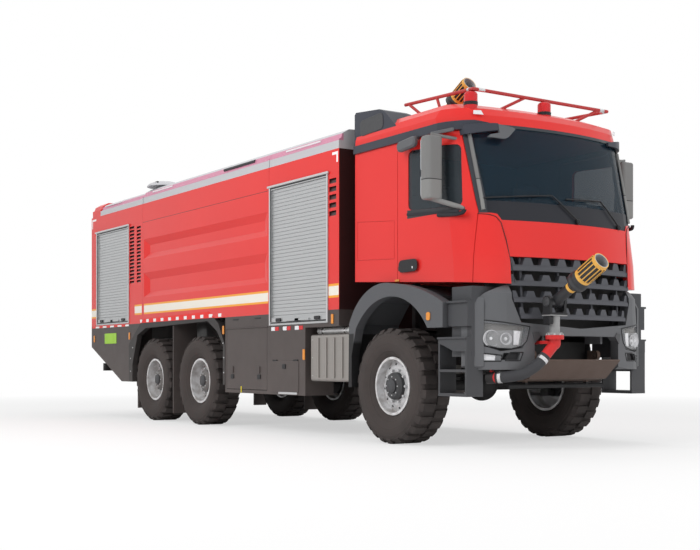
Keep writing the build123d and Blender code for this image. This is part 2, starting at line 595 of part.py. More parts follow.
def cab_steps():
    """Step housing between fender and bumper: two moulded treads and a hanging frame."""
    back = block((912, BUMPER_REAR), (-CAB_HALF + 10, -720), (880, 1540))
    upper = side_slab([(912, 1180), (912, 1375), (935, 1405), (BUMPER_REAR, 1405), (BUMPER_REAR, 1165), (960, 1165)],
                      (-STEP_OUT + 25, 10 - CAB_HALF))
    ledge = block((912, BUMPER_REAR), (-STEP_OUT, -CAB_HALF), (1385, 1405))
    middle = side_slab([(776, 1010), (776, 1066), (BUMPER_REAR, 1066), (BUMPER_REAR, 930), (1010, 930), (860, 985)],
                       (-STEP_OUT + 15, -STEP_IN))
    lip = block((776, BUMPER_REAR), (-STEP_OUT, -STEP_IN), (1048, 1066))
    low = block((776, BUMPER_REAR), (-STEP_OUT + 15, -STEP_IN), (505, 535))
    tread = block((800, BUMPER_REAR - 10), (-STEP_OUT + 15, -STEP_IN), (735, 760))
    whole = back + upper + ledge + middle + lip + low + tread
    for x, top in ((778, 1010), (BUMPER_REAR - 24, 940)):
        whole = whole + block((x, x + 22), (-STEP_OUT + 15, -STEP_IN), (505, top))
    return both(whole)


SEATS = ((-560, 100, 480), (560, 100, 480), (-560, -560, 420), (0, -560, 420), (560, -560, 420))   # y, back x, depth
CUSHION = (FLOOR + 260.0, FLOOR + 420.0)
SEAT_HALF, SEAT_TOP = 240.0, FLOOR + 890.0


def seats():
    """Cushion and backrest of each seat."""
    out = []
    for y, x, depth in SEATS:
        sides = (y - SEAT_HALF, y + SEAT_HALF)
        cushion = block((x, x + depth), sides, (CUSHION[0] + RUN, CUSHION[1]))
        back = block((x - 30, x + 90), sides, (CUSHION[0] + RUN, SEAT_TOP))
        head = block((x - 20, x + 70), (y - 130, y + 130), (SEAT_TOP - 5, SEAT_TOP + 110))
        out.append(cushion + back + head)
    return out


def cab_interior():
    """Seat boxes, dashboard and steering wheel seen through the glass."""
    out = []
    for y, x, depth in SEATS:
        out.append(block((x + 60, x + depth - 60), (y - 160, y + 160), (FLOOR, CUSHION[0])))
    dash = side_slab([(880, FLOOR), (1180, FLOOR), (1240, 2290), (1100, 2330), (900, 2330), (820, 2200)],
                     (150 - CAB_HALF, CAB_HALF - 150))
    out.append((dash & cab_solid(CAB_WALL + 10, "lamp", "roof")) - hinge_room(DASH_ROOM))
    tilt = Pos(720, 560, 2380) * Rot(0, -25, 0)
    column = rod((722, 560, 2372), (860, 560, 2150), 30)
    spokes = tilt * (Box(420, 40, 20) + Box(40, 420, 20))
    out.append(tilt * Torus(215, 16) + column + spokes)
    return out


def mirror_unit(s):
    """Mirror head on two arms from the door's front edge."""
    y0, y1 = -CAB_HALF - 250, -CAB_HALF - 65
    head = block((740, 880), (y0, y1), (2370, 2975))
    head = fillet(head.edges().filter_by(Axis.Z), 45)
    head = fillet(head.edges().group_by(Axis.Z)[-1] + head.edges().group_by(Axis.Z)[0], 25)
    top = rod((812, -CAB_HALF - 150, 2990), (915, 135 - CAB_HALF, 2955), 16)
    low = rod((812, -CAB_HALF - 150, 2382), (1062, 125 - CAB_HALF, 2262), 24)
    post = rod((812, -CAB_HALF - 150, 2960), (812, -CAB_HALF - 150, 3006), 18)
    whole = head + post + top + low - cab_solid(0, "cowl", "roof")
    return whole if s < 0 else mirrored(whole)


# Body behind the cab

def module(x0, x1):
    """Body module: full width above the wheels, narrow belly down to the sub-frame."""
    upper = block((x0, x1), (-BODY_HALF, BODY_HALF), (BODY_LOW, BODY_TOP))
    belly = block((x0, x1), (-BELLY_HALF, BELLY_HALF), (SUBFRAME_TOP, BODY_LOW))
    return upper + belly


def shutter_gap(name):
    """Recess that holds one side shutter, on the right."""
    x0, x1, z0, z1 = SHUTTERS[name]
    return block((x0, x1), (-BODY_HALF - 20, -BODY_HALF + SHUTTER_DEPTH), (z0, z1))


def slats(depth_face, depth_back, z0, z1):
    """Section of a roller shutter's curtain: (depth, z) points with a groove under each slat."""
    count = round((z1 - z0) / SLAT)
    pitch = (z1 - z0) / count
    points = [(depth_back, z1), (depth_back, z0)]
    for i in range(count):
        low = z0 + i * pitch
        points += [(depth_face + 6, low), (depth_face, low + 5), (depth_face, low + pitch - 3)]
    return points + [(depth_face + 6, z1)]


def shutter(half_width, z0, z1):
    """Frame and slatted curtain of a shutter, its outer face at y = 0 and facing -Y, centred on x = 0."""
    f, back = SHUTTER_FRAME, SHUTTER_DEPTH - 15
    frame = block((-half_width, half_width), (-8, SHUTTER_DEPTH), (z0, z1))
    hole = block((f - half_width, half_width - f), (-20, back), (z0 + f, z1 - f))
    section = [(0, py, pz) for py, pz in slats(12, back, z0 + f, z1 - f)]
    curtain = extrude(make_face(Polyline(*section, close=True)), amount=half_width - f, dir=(1, 0, 0), both=True)
    bar = block((f - half_width, half_width - f), (-2, back), (z0 + f, z0 + f + 55))
    grip = block((-260, 260), (-20, 0), (z0 + f + 12, z0 + f + 34))
    return (frame - hole) + curtain + bar + grip


def shutters():
    """Roller shutters of the side lockers and of the back."""
    out = []
    for x0, x1, z0, z1 in SHUTTERS.values():
        out += both(Pos((x0 + x1) / 2, -BODY_HALF, 0) * shutter((x1 - x0) / 2, z0, z1))
    half, z0, z1 = BACK_SHUTTER
    return [*out, Pos(BODY_REAR, 0, 0) * Rot(0, 0, -90) * shutter(half, z0, z1)]


def louvre(x0, x1, z0, z1, count):
    """Saw-toothed cut for a column of slanted louvres in the right side wall."""
    pitch = (z1 - z0) / count
    points = [(-BODY_HALF - 10, z0)]
    for i in range(count):
        low = z0 + i * pitch
        points += [(-BODY_HALF, low), (LOUVRE_DEPTH - BODY_HALF, low + 0.75 * pitch), (-BODY_HALF, low + 0.75 * pitch)]
    return front_slab(points + [(-BODY_HALF, z1), (-BODY_HALF - 10, z1)], (x0, x1))


def locker_front():
    """Front locker with the shutter's recess and a louvred vent on each side."""
    body = module(FRONT_JOINT + SEAM, BODY_FRONT)
    cuts = [shutter_gap("front_locker")] + [louvre(*row) for row in LOUVRES["front"]]
    for cut in both(*cuts):
        body = body - cut
    return [body]


def side_face(x0, x1, z0, z1, y):
    """Upright rectangle at depth y."""
    return make_face(Polyline((x0, y, z0), (x1, y, z0), (x1, y, z1), (x0, y, z1), close=True))


def tank_body():
    """Tank module with two pressed troughs and the arch cut on each side."""
    x0, x1 = REAR_JOINT + SEAM, FRONT_JOINT - SEAM
    body = module(x0, x1)
    for z0, z1, f0, f1 in TROUGHS:
        mouth = side_face(x0 + 38, x1 - 38, z0, z1, -BODY_HALF)
        floor = side_face(x0 + 168, x1 - 168, f0, f1, -BODY_HALF + TROUGH_DEPTH)
        press = loft([mouth, floor], ruled=True)
        body = body - press - mirrored(press)
    arch = side_slab(ARCH_OUT, (-BODY_HALF - 20, -BODY_HALF + ARCH_DEPTH))
    return [body - arch - mirrored(arch)]


def locker_rear():
    """Rear locker with its louvres and the red roof cap over its last stretch."""
    body = module(BODY_REAR, REAR_JOINT - SEAM)
    cap = roof_section(BODY_REAR, BODY_REAR + REAR_CAP, 0)
    back_edges = cap.faces().sort_by(Axis.X)[0].edges().filter_by(lambda e: e.center().Z > BODY_TOP + 20)
    body = body + fillet(back_edges, 60)
    cuts = [shutter_gap("rear_locker"), side_slab(ARCH_OUT, (-BODY_HALF - 20, -BODY_HALF + ARCH_DEPTH))]
    for cut in both(*cuts, *[louvre(*row) for row in LOUVRES["rear"]]):
        body = body - cut
    half, z0, z1 = BACK_SHUTTER
    return [body - block((BODY_REAR - 20, BODY_REAR + SHUTTER_DEPTH), (-half, half), (z0, z1))]


def roof_section(x0, x1, drop):
    """Roof with its light-strip step at each eave, between two cross-sections."""
    half = [(0, 0), (0, 100), (28, 115), (45, 165), (130, 215)]
    crest = [(0, ROOF_CREST - drop)]
    right = [(BODY_HALF - inwards, BODY_TOP + up - drop * (up > 0)) for inwards, up in half]
    outline = right + crest + [(-py, pz) for py, pz in reversed(right)]
    return front_slab(outline, (x0, x1))


def roof_deck():
    """Silver roof over the three modules."""
    return [roof_section(BODY_REAR + REAR_CAP + 0.5, REAR_JOINT - SEAM, 25),
            roof_section(REAR_JOINT + SEAM, FRONT_JOINT - SEAM, 0), roof_section(FRONT_JOINT + SEAM, BODY_FRONT, 0)]


def side_skirts():
    """Lower cladding: rear corner, hollow mid locker, front skirt with its sill, and mud flaps."""
    y = (-BODY_HALF, -SKIRT_IN)
    (foot_x, foot_z), (_, knee_z), (arch_x, _) = ARCH_OUT[:3]
    edge = foot_x - 0.5
    rear = side_slab([(BODY_REAR, BODY_LOW), (BODY_REAR, 1077), (-6890, foot_z), (edge, foot_z), (edge, knee_z),
                      (arch_x - 0.5, BODY_LOW)], (-BODY_HALF, 150 - BODY_HALF))
    rear = rear - shutter_gap("rear_locker")
    mid = block((SKIRT_REAR + 0.5, FRONT_JOINT), y, (SKIRT_LOW, BODY_LOW))
    x0, x1, z0, z1 = SKIRT_DOOR
    hollow = block((x0 - 10, x1 + 10), (-BODY_HALF + PANEL, -SKIRT_IN - PANEL), (z0 - 10, z1 + 10))
    mouth = block((x0 - DOOR_GAP, x1 + DOOR_GAP), (-BODY_HALF - 20, -BODY_HALF + 60), (z0 - DOOR_GAP, z1 + DOOR_GAP))
    mid = mid - hollow - mouth + barrel_ends((x0, *FLAP_AXIS), (x1, *FLAP_AXIS))
    front = block((FRONT_JOINT + 0.5, SKIRT_FRONT), y, (SKIRT_LOW, SILL_LOW))
    sill = block((FRONT_JOINT + 0.5, BODY_FRONT), y, (SILL_LOW, BODY_LOW)) - shutter_gap("front_locker")
    flap_mid = block((-5097, -5077), (10 - BODY_HALF, -880), (130, 1340))
    flap_mid = flap_mid + block((-5097, -5077), (ARCH_DEPTH + 1 - BODY_HALF, -880), (1340, BODY_LOW))
    flap_rear = block((-6640, -6610), (151 - BODY_HALF, -880), (150, BODY_LOW))
    return both(rear, mid, front + sill, flap_mid, flap_rear)


def arch_trim():
    """Dark trim round the rear wheels' arch on each side, one length between two corners."""
    y = (-BODY_HALF - ARCH_LIP, -BODY_HALF + ARCH_DEPTH)
    pairs = list(zip(ARCH_OUT, ARCH_IN))
    return both(*[side_slab([a, b, d, c], y) for (a, c), (b, d) in zip(pairs, pairs[1:])])


def skirt_door(s):
    """Top-hinged flap of the mid locker."""
    x0, x1, z0, z1 = SKIRT_DOOR
    panel = block((x0, x1), (-BODY_HALF, -BODY_HALF + PANEL), (z0, z1))
    whole = panel + barrel((x0, *FLAP_AXIS), (x1, *FLAP_AXIS))
    for x in LATCHES:
        whole = whole + block((x - 25, x + 25), (-BODY_HALF - 12, -BODY_HALF), (700, 780))
    return whole if s < 0 else mirrored(whole)


def side_box(s, radius):
    """Box under the cab's rear with its brackets to the rail, on side s."""
    x0, x1, z0, z1 = SIDE_BOX
    box = block((x0, x1), (-SIDE_BOX_OUT, -SIDE_BOX_IN), (z0, z1))
    whole = fillet(box.edges().filter_by(Axis.X), radius)
    for x in (x0 + 100, x1 - 200):
        whole = whole + block((x, x + 100), (-SIDE_BOX_IN - 1, -RAIL_OUT), (850, 950))
    return whole if s < 0 else mirrored(whole)


def silencer_box():
    """Ribbed exhaust box on the right with its pipe above."""
    x0, x1, z0, z1 = SIDE_BOX
    whole = side_box(-1, 30)
    for i in range(4):
        x = x0 + (i + 1) * (x1 - x0) / 5
        whole = whole + block((x - 14, x + 14), (-SIDE_BOX_OUT - 12, -SIDE_BOX_OUT), (z0 + 40, z1 - 40))
    y, z = -SIDE_BOX_OUT + 120, z1 + PIPE_R + 2
    stay = block((x0 + 300, x0 + 350), (y - 10, y + 10), (z1 - 8, z))
    return [whole + stay + rod((x0, y, z), (x1 - 60, y, z), PIPE_R)]


def fuel_tank():
    """Fuel tank on the left with its straps and cap."""
    x0, x1, z0, z1 = SIDE_BOX
    whole = side_box(1, 60) + rod((x1 - 120, 1100, z1 - 8), (x1 - 120, 1100, z1 + 47), 55)
    for x in (x0 + 150, x1 - 150):
        strap = block((x - 25, x + 25), (SIDE_BOX_IN - 4, SIDE_BOX_OUT + 4), (z0 - 4, z1 + 4))
        whole = whole + fillet(strap.edges().filter_by(Axis.X), 64)
    return [whole]


def roof_rack():
    """Tubular guard round the front of the cab roof, on sloping legs."""
    half, r = 905, 17
    back, front = Vector(-145, half, 3500), Vector(945, half, 3452)
    whole = rod((front.X, -half, front.Z), (front.X, half, front.Z), r)
    legs = [(back + (front - back) * 0.05, (200, half + 20, 3310)), (back + (front - back) * 0.48, (470, half + 10, 3290))]
    for s in (-1, 1):
        a, b = [Vector(p.X, s * half, p.Z) for p in (back, front)]
        whole = whole + rod(a, b, r) + Pos(b) * Sphere(r) + Pos(a) * Sphere(r)
        for top, foot in legs:
            whole = whole + rod((top.X, s * half, top.Z), (foot[0], s * foot[1], foot[2]), r - 2)
    for y, foot_y in ((-240, -530), (780, 490)):
        whole = whole + rod((front.X, y, front.Z), (860, foot_y, 3300), r - 2)
    return [whole - cab_roof()[0]]


def beacons():
    """Warning beacons at the roof's front corner and middle."""
    out = []
    for x, y in ((905, -905), (960, 0)):
        post = rod((x, y, 3100), (x, y, 3428), 66)
        dome = fillet(post.edges().sort_by(Axis.Z)[-1], 30)
        out.append(dome - cab_roof()[0] - block((600, 1200), (-1100, 1100), (3000, 3200)))
    return out


def rear_ladder():
    """Ladder on the back's left side beside the shutter."""
    x, sides = BODY_REAR - 70, (BODY_HALF - 320, BODY_HALF - 50)
    whole = None
    for y in sides:
        stile = rod((x, y, 1250), (x, y, 3300), 16)
        for z in (1500, 3000):
            stile = stile + rod((x, y, z), (BODY_REAR - RUN, y, z), 13)
        whole = stile if whole is None else whole + stile
    for i in range(7):
        z = 1350 + i * 300
        whole = whole + rod((x, sides[0], z), (x, sides[1], z), 13)
    return [whole]


def tail_lamps():
    """Lamp cluster with three round lenses on each side of the back."""
    out = []
    for s in (-1, 1):
        y0 = BODY_HALF - 300
        cluster = block((BODY_REAR - 24, BODY_REAR), sorted((s * y0, s * (BODY_HALF - 10))), (1120, 1250))
        for i in range(3):
            y = s * (y0 + 50 + i * 95)
            cluster = cluster + rod((BODY_REAR - 36, y, 1185), (BODY_REAR - 20, y, 1185), 40)
        out.append(cluster)
    return out


def rear_bumper():
    """Underrun beam on two stays with the tow jaw between them."""
    beam = block((BODY_REAR + 60, BODY_REAR + 140), (-1090, 1090), (700, 820))
    beam = fillet(beam.edges().filter_by(Axis.Z), 30)
    x = RAIL_BACK
    whole = beam + block((x - 40, x + 90), (-440, 440), (700, 780)) + block((x - 60, x), (-440, 440), (820, 1060))
    for s in (-1, 1):
        whole = whole + block((x, x + 90), sorted((s * 380, s * 440)), (700, RAIL_LOW))
    jaw = block((x - 200, x - 60), (-90, 90), (880, 1010))
    jaw = fillet(jaw.edges().filter_by(Axis.Z).sort_by(Axis.X)[:2], 45)
    slot = block((x - 230, x - 90), (-70, 70), (915, 975))
    pin_hole = Pos(x - 150, 0, 950) * Cylinder(TOW_PIN_R, 160)
    return [whole + jaw - slot - pin_hole]


def front_guard():
    """Folded skid plate under the bumper with a tube across below it, and two tow eyes."""
    plate = side_slab([(1480, 855), (1490, 845), (1300, 668), (1130, 640), (1130, 652), (1296, 680)], (-520, 520))
    whole = plate + rod((1130, -640, 600), (1130, 640, 600), 25)
    for y in (-410, 410):
        whole = whole + block((1110, 1150), (y - 15, y + 15), (610, RAIL_LOW))
    eyes = []
    eye_x, eye_z = RAIL_FRONT + 95, 897
    for s in (-1, 1):
        lug = block((RAIL_FRONT, RAIL_FRONT + 140), sorted((s * (RAIL_OUT - 40), s * RAIL_OUT)), (850, 945))
        lug = fillet(lug.edges().filter_by(Axis.Y).sort_by(Axis.X)[-2:], 40)
        eyes.append(lug - rod((eye_x, s * 300, eye_z), (eye_x, s * 600, eye_z), TOW_EYE_R))
    return [whole, *eyes]


# Turrets

def nozzle(x, y, z, length, tilt):
    """Barrel, flow body and ribbed sleeve with its open mouth along the firing line."""
    shares = [(0, 0), (0, 52), (0.40, 52), (0.42, 64), (0.46, 98), (0.57, 98), (0.6, 86), (0.62, 82), (1, 80), (1, 66),
              (0.72, 58), (0.72, 0)]
    face = make_face(Polyline(*[(share * length, 0, pr) for share, pr in shares], close=True))
    shape = revolve(face, axis=Axis.X)
    sleeve = (0.64 * length, 0.95 * length)
    for i in range(SLEEVE_RIBS):
        rib = block(sleeve, (-5, 5), (74, 89))
        shape = shape + Rot(i * 360 / SLEEVE_RIBS, 0, 0) * rib
    hub = rod((0, -TRUNNION, 0), (0, TRUNNION, 0), 48)
    return Pos(x, y, z) * Rot(0, -tilt, 0) * (shape + hub)


def turret_fork(x, y, low, pivot):
    """Swivelling riser with two round-headed cheeks that hold the nozzle's trunnion."""
    wall = 30
    riser = rod((x, y, low), (x, y, pivot - 110), 48) + rod((x, y, low), (x, y, low + 26), 72)
    whole = riser + block((x - 60, x + 60), (y - TRUNNION - wall, y + TRUNNION + wall), (pivot - 130, pivot - 100))
    for s in (-1, 1):
        y0, y1 = sorted((y + s * (TRUNNION + RUN), y + s * (TRUNNION + wall)))
        whole = whole + block((x - 48, x + 48), (y0, y1), (pivot - 110, pivot)) + rod((x, y0, pivot), (x, y1, pivot), 56)
    return whole


def turret_stand():
    """Fixed flange on an elbow pipe held behind the bumper, the hose's valve, and the roof pedestal."""
    x, y = TURRET
    flange = rod((x, y, TURRET_BASE - 40), (x, y, TURRET_BASE), 85)
    pipe = rod((x, y, ELBOW_Z), (x, y, TURRET_BASE - 40), 55)
    start, heading = hose_end(0)
    elbow = rod(start, (x, y, ELBOW_Z), 50) + Pos(x, y, ELBOW_Z) * Sphere(55)
    bracket = block((RAIL_FRONT + 30, x - 40), (y - 40, y + 40), (ELBOW_Z, ELBOW_Z + 30))
    stay = block((RAIL_FRONT, RAIL_FRONT + 30), (y - 60, y + 60), (950, RAIL_TOP))
    socket, last = hose_end(-1)
    tail = socket + last * 90
    valve = rod(socket, tail, HOSE_R + 6)
    turn = (RAIL_FRONT, tail.Y, tail.Z)
    inlet = rod(tail, turn, 40) + Pos(turn) * Sphere(40) + rod(turn, (RAIL_FRONT, -560, tail.Z), 40)
    bracket_in = block((RAIL_FRONT - 60, RAIL_FRONT - 10), (-600, -RAIL_OUT), (tail.Z, RAIL_LOW + 50))
    roof_x, roof_y = ROOF_TURRET
    pedestal = rod((roof_x, roof_y, ROOF_BASE - 50), (roof_x, roof_y, ROOF_BASE), 85) - cab_roof()[0]
    return [flange + pipe + elbow + bracket + stay, valve + inlet + bracket_in, pedestal]


def hose_end(index):
    """Seat of the hose's first or last face, a running gap past it, and the way it points."""
    end, before = Vector(*HOSE_ROUTE[index]), Vector(*HOSE_ROUTE[1 if index == 0 else index - 1])
    heading = (end - before).normalized()
    return end + heading * RUN, heading


def hose_radii(route, share=0.45):
    """Largest arc at each inner corner: a share of the shorter run over the tangent of half the turn."""
    pts = [Vector(*p) for p in route]
    runs = [b - a for a, b in zip(pts, pts[1:])]
    out = []
    for a, b in zip(runs, runs[1:]):
        half_turn = math.radians(a.get_angle(b)) / 2
        out.append(share * min(a.length, b.length) / math.tan(half_turn))
    return out


def feed_hose():
    """Hose from the valve under the bumper's corner up to the turret's elbow."""
    path = FilletPolyline(*HOSE_ROUTE, radius=hose_radii(HOSE_ROUTE))
    start = Vector(*HOSE_ROUTE[1]) - Vector(*HOSE_ROUTE[0])
    section = Plane(HOSE_ROUTE[0], z_dir=start) * Circle(HOSE_R)
    return [sweep(section, path=path)]


SHELL, DOOR, DOOR_GLASS, WINDSCREEN, COWL, HOOD = cab_parts()

NODES = {
    "chassis_frame": chassis_frame(),
    "axles": axles(),
    "suspension": suspension(),
    "driveline": driveline(),
    "cab_shell": [SHELL],
    "cab_roof": cab_roof(),
    "roof_trim": roof_trim(),
    "windscreen": [WINDSCREEN],
    "wiper_cowl": [COWL],
    "front_panel": [HOOD],
    "grille": grille(),
    "bumper": bumper(),
    "head_lamps": head_lamps(),
    "front_fenders": front_fenders(),
    "cab_steps": cab_steps(),
    "seats": seats(),
    "cab_interior": cab_interior(),
    "locker_front": locker_front(),
    "tank_body": tank_body(),
    "locker_rear": locker_rear(),
    "roof_deck": roof_deck(),
    "roller_shutters": shutters(),
    "side_skirts": side_skirts(),
    "arch_trim": arch_trim(),
    "silencer_box": silencer_box(),
    "fuel_tank": fuel_tank(),
    "roof_rack": roof_rack(),
    "beacons": beacons(),
    "rear_ladder": rear_ladder(),
    "tail_lamps": tail_lamps(),
    "rear_bumper": rear_bumper(),
    "front_guard": front_guard(),
    "turret_stand": turret_stand(),
    "feed_hose": feed_hose(),
    "front_turret_fork": [turret_fork(*TURRET, TURRET_BASE + RUN, TURRET_PIVOT)],
    "front_turret_nozzle": [nozzle(*TURRET, TURRET_PIVOT, NOZZLE_LEN, NOZZLE_TILT)],
    "roof_turret_fork": [turret_fork(*ROOF_TURRET, ROOF_BASE + RUN, ROOF_PIVOT)],
    "roof_turret_nozzle": [nozzle(*ROOF_TURRET, ROOF_PIVOT, ROOF_NOZZLE_LEN, NOZZLE_TILT)],
}
TYRE = tyre_form()
for side, s in (("right", -1), ("left", 1)):
    NODES["knuckle_" + side] = [knuckle(s)]
    NODES["cab_door_" + side] = [DOOR if s < 0 else mirrored(DOOR)]
    NODES["door_glass_" + side] = [DOOR_GLASS if s < 0 else mirrored(DOOR_GLASS)]
    NODES["mirror_" + side] = [mirror_unit(s)]
    NODES["skirt_door_" + side] = [skirt_door(s)]
    for place, x in AXLES.items():
        NODES["tyre_" + place + "_" + side] = [wheel_place(s, x) * TYRE]
        NODES["rim_" + place + "_" + side] = [wheel_place(s, x) * rim_form(*WHEEL_DISH[place])]

BOXES = [solid.bounding_box() for solids in NODES.values() for solid in solids]
SHIFT_X = -(min(b.min.X for b in BOXES) + max(b.max.X for b in BOXES)) / 2

if __name__ == "__main__":
    os.makedirs("parts", exist_ok=True)
    for name, solids in NODES.items():
        placed = [Pos(SHIFT_X, 0, 0) * solid for solid in solids]
        export_step(Compound(children=placed), "parts/" + name + ".step")
    print("shift", SHIFT_X, "nodes", len(NODES))
    print("hose radii", [round(r) for r in hose_radii(HOSE_ROUTE)])
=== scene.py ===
"""Airport fire truck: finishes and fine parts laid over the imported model.

Metres, in the model's own frame: +X forward, +Y to the left, +Z up, ground at z = 0.
Lengths along the truck are given from the front axle, and at() moves them to the frame.
"""
import math
from functools import cached_property

import bmesh
import bpy
import numpy as np
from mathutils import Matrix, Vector


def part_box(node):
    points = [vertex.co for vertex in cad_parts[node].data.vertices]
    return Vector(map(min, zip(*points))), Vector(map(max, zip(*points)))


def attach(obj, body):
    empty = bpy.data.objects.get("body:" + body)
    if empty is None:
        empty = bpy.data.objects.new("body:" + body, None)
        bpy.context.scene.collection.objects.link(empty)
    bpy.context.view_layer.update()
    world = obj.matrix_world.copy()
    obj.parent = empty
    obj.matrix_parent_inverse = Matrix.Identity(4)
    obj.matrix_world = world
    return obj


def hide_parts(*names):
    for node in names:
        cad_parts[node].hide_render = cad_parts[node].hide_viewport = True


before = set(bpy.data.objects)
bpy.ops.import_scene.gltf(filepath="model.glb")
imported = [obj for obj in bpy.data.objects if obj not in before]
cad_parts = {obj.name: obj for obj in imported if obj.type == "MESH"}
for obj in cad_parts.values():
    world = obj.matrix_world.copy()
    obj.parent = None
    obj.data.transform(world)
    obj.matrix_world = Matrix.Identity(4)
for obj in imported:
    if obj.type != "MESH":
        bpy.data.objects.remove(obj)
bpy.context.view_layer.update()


def middle(node):
    """Centre of a node's box."""
    low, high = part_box(node)
    return (np.array(low) + np.array(high)) / 2


AXLE_X = float(middle("tyre_front_right")[0])
WHEEL_Z = float(middle("tyre_front_right")[2])
WHEEL_X = {place: float(middle("tyre_" + place + "_right")[0]) - AXLE_X for place in ("front", "mid", "rear")}
WHEEL_Y = abs(float(middle("tyre_front_right")[1]))
SIDE = abs(float(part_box("tank_body")[0][1]))      # half width of the body modules
CAB = abs(float(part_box("cab_shell")[0][1]))       # half width of the cab
REAR_X = -8.126                                   # rear end of the body
EDGE = 0.002                                      # width over which one painted colour gives way to the next
TAU = 2 * math.pi
TURRETS = {     # x from the axle, y, height of the trunnion, nozzle's length
    "front": (1.600, -0.470, 1.389, 0.685),
    "roof": (-0.600, -0.100, 3.520, 0.600),
}
LIFT = math.radians(30)                           # nozzles' angle at rest
LINE = np.array([math.cos(LIFT), 0.0, math.sin(LIFT)])


# Shader arithmetic

class Sock:
    """A shader socket that takes part in Python expressions."""

    def __init__(self, owner, socket):
        self.owner = owner
        self.socket = socket

    def math(self, operation, *others):
        values = dict(enumerate((self, *others)))
        return self.owner.node("ShaderNodeMath", {"operation": operation}, values)

    def flipped(self, operation, other):
        return self.owner.node("ShaderNodeMath", {"operation": operation}, {0: other, 1: self})

    def __add__(self, other):
        return self.math("ADD", other)

    def __sub__(self, other):
        return self.math("SUBTRACT", other)

    def __mul__(self, other):
        return self.math("MULTIPLY", other)

    def __truediv__(self, other):
        return self.math("DIVIDE", other)

    def __rsub__(self, other):
        return self.flipped("SUBTRACT", other)

    __radd__ = __add__
    __rmul__ = __mul__

    def either(self, other):
        """The greater of two masks."""
        return self.math("MAXIMUM", other)

    def within(self, low, high, soft=EDGE):
        """1 between low and high, with edges soft wide."""
        return self.rise(low, soft) * (1 - self.rise(high, soft))

    def rise(self, edge, soft=EDGE):
        """0 below edge and 1 above it, over a width soft."""
        ends = {"Value": self, "From Min": edge - soft / 2, "From Max": edge + soft / 2}
        return self.owner.node("ShaderNodeMapRange", {}, ends)

    def wave(self, period, share):
        """1 over the last share of each period, else 0."""
        return (self / period).math("FRACT").rise(1 - share, 0.02)


class Tree:
    """A shader tree whose added nodes all come from node()."""

    def __init__(self, tree):
        self.tree = tree

    def feed(self, socket, value):
        """Links a Sock to the socket, or sets the socket's own value."""
        if isinstance(value, Sock):
            self.tree.links.new(value.socket, socket)
        elif isinstance(value, tuple) and socket.type == "RGBA":
            socket.default_value = (*value, 1.0)
        else:
            socket.default_value = value

    def node(self, kind, settings, inputs, output=0):
        """New node with its settings, then its sockets' values or links."""
        made = self.tree.nodes.new(kind)
        for key, value in settings.items():
            setattr(made, key, value)
        for key, value in inputs.items():
            self.feed(made.inputs[key], value)
        return Sock(self, made.outputs[output])


class Finish(Tree):
    """One material: a Principled surface and the nodes that feed it."""

    def __init__(self, name, color, **sockets):
        self.material = bpy.data.materials.new(name)
        self.material.use_nodes = True
        super().__init__(self.material.node_tree)
        self.surface = self.tree.nodes["Principled BSDF"]
        self.color = color
        self.set("Base Color", color)
        for key, value in sockets.items():
            self.set(key.replace("_", " "), value)

    def set(self, key, value):
        self.feed(self.surface.inputs[key], value)

    def paint(self, mask, color):
        """Lays another colour over the present one where mask is 1."""
        links = self.surface.inputs["Base Color"].links
        under = Sock(self, links[0].from_socket) if links else self.color
        self.set("Base Color", self.blend(mask, under, color))

    @cached_property
    def point(self):
        """Object coordinates."""
        return self.node("ShaderNodeTexCoord", {}, {}, "Object")

    def part(self, axis):
        return self.node("ShaderNodeSeparateXYZ", {}, {0: self.point}, axis)

    @cached_property
    def x(self):
        """Length from the front axle."""
        return self.part(0) - AXLE_X

    @cached_property
    def y(self):
        return self.part(1)

    @cached_property
    def z(self):
        return self.part(2)

    def noise(self, scale, detail, stretch=None):
        point = self.point
        if stretch:
            point = self.node("ShaderNodeVectorMath", {"operation": "MULTIPLY"}, {0: point, 1: stretch})
        return self.node("ShaderNodeTexNoise", {}, {"Vector": point, "Scale": scale, "Detail": detail})

    def blend(self, share, first, second):
        """Colour that goes from first to second as share goes from 0 to 1."""
        return self.node("ShaderNodeMix", {"data_type": "RGBA"}, {0: share, 6: first, 7: second}, 2)

    def bump(self, height, strength, distance):
        sockets = {"Height": height, "Strength": strength, "Distance": distance}
        self.set("Normal", self.node("ShaderNodeBump", {}, sockets))


# Finishes

RED = (0.72, 0.030, 0.026)
DUST = (0.24, 0.20, 0.18)
MOST_DUST = 0.7                                   # share of dust that no place exceeds
SQUARE_WHITE = (0.80, 0.80, 0.80)
TAPE_WHITE = (0.82, 0.82, 0.82)
NOZZLE_YELLOW = (0.74, 0.40, 0.075)
BLACK = (0.012, 0.012, 0.014)
LEATHER_GRAIN = 900.0                             # noise scale of moulded plastic
HUB_R = 0.142
DISC_R = 0.245                                    # of a wheel, inside its bright bead
WALL_R = 0.53                                     # where a tyre's wall meets its tread


def shade(color, factor):
    """A colour made darker or lighter by one factor."""
    return tuple(c * factor for c in color)


def dusted(finish, color, top, amount):
    """A colour under road dust that thickens below height top."""
    low = 1 - (finish.z / top).math("MINIMUM", 1.0)
    patchy = finish.noise(3.0, 5.0)
    return finish.blend((low * patchy * amount).math("MINIMUM", MOST_DUST), color, DUST)


def white_squares(finish):
    """Mask of the white squares along the body's lower edge."""
    return finish.z.within(1.412, 1.455) * (finish.x - REAR_X).wave(0.25, 0.36)


def from_hub(finish, place):
    """Distance from a wheel's axis."""
    dx, dz = finish.x - WHEEL_X[place], finish.z - WHEEL_Z
    return (dx * dx + dz * dz).math("SQRT")


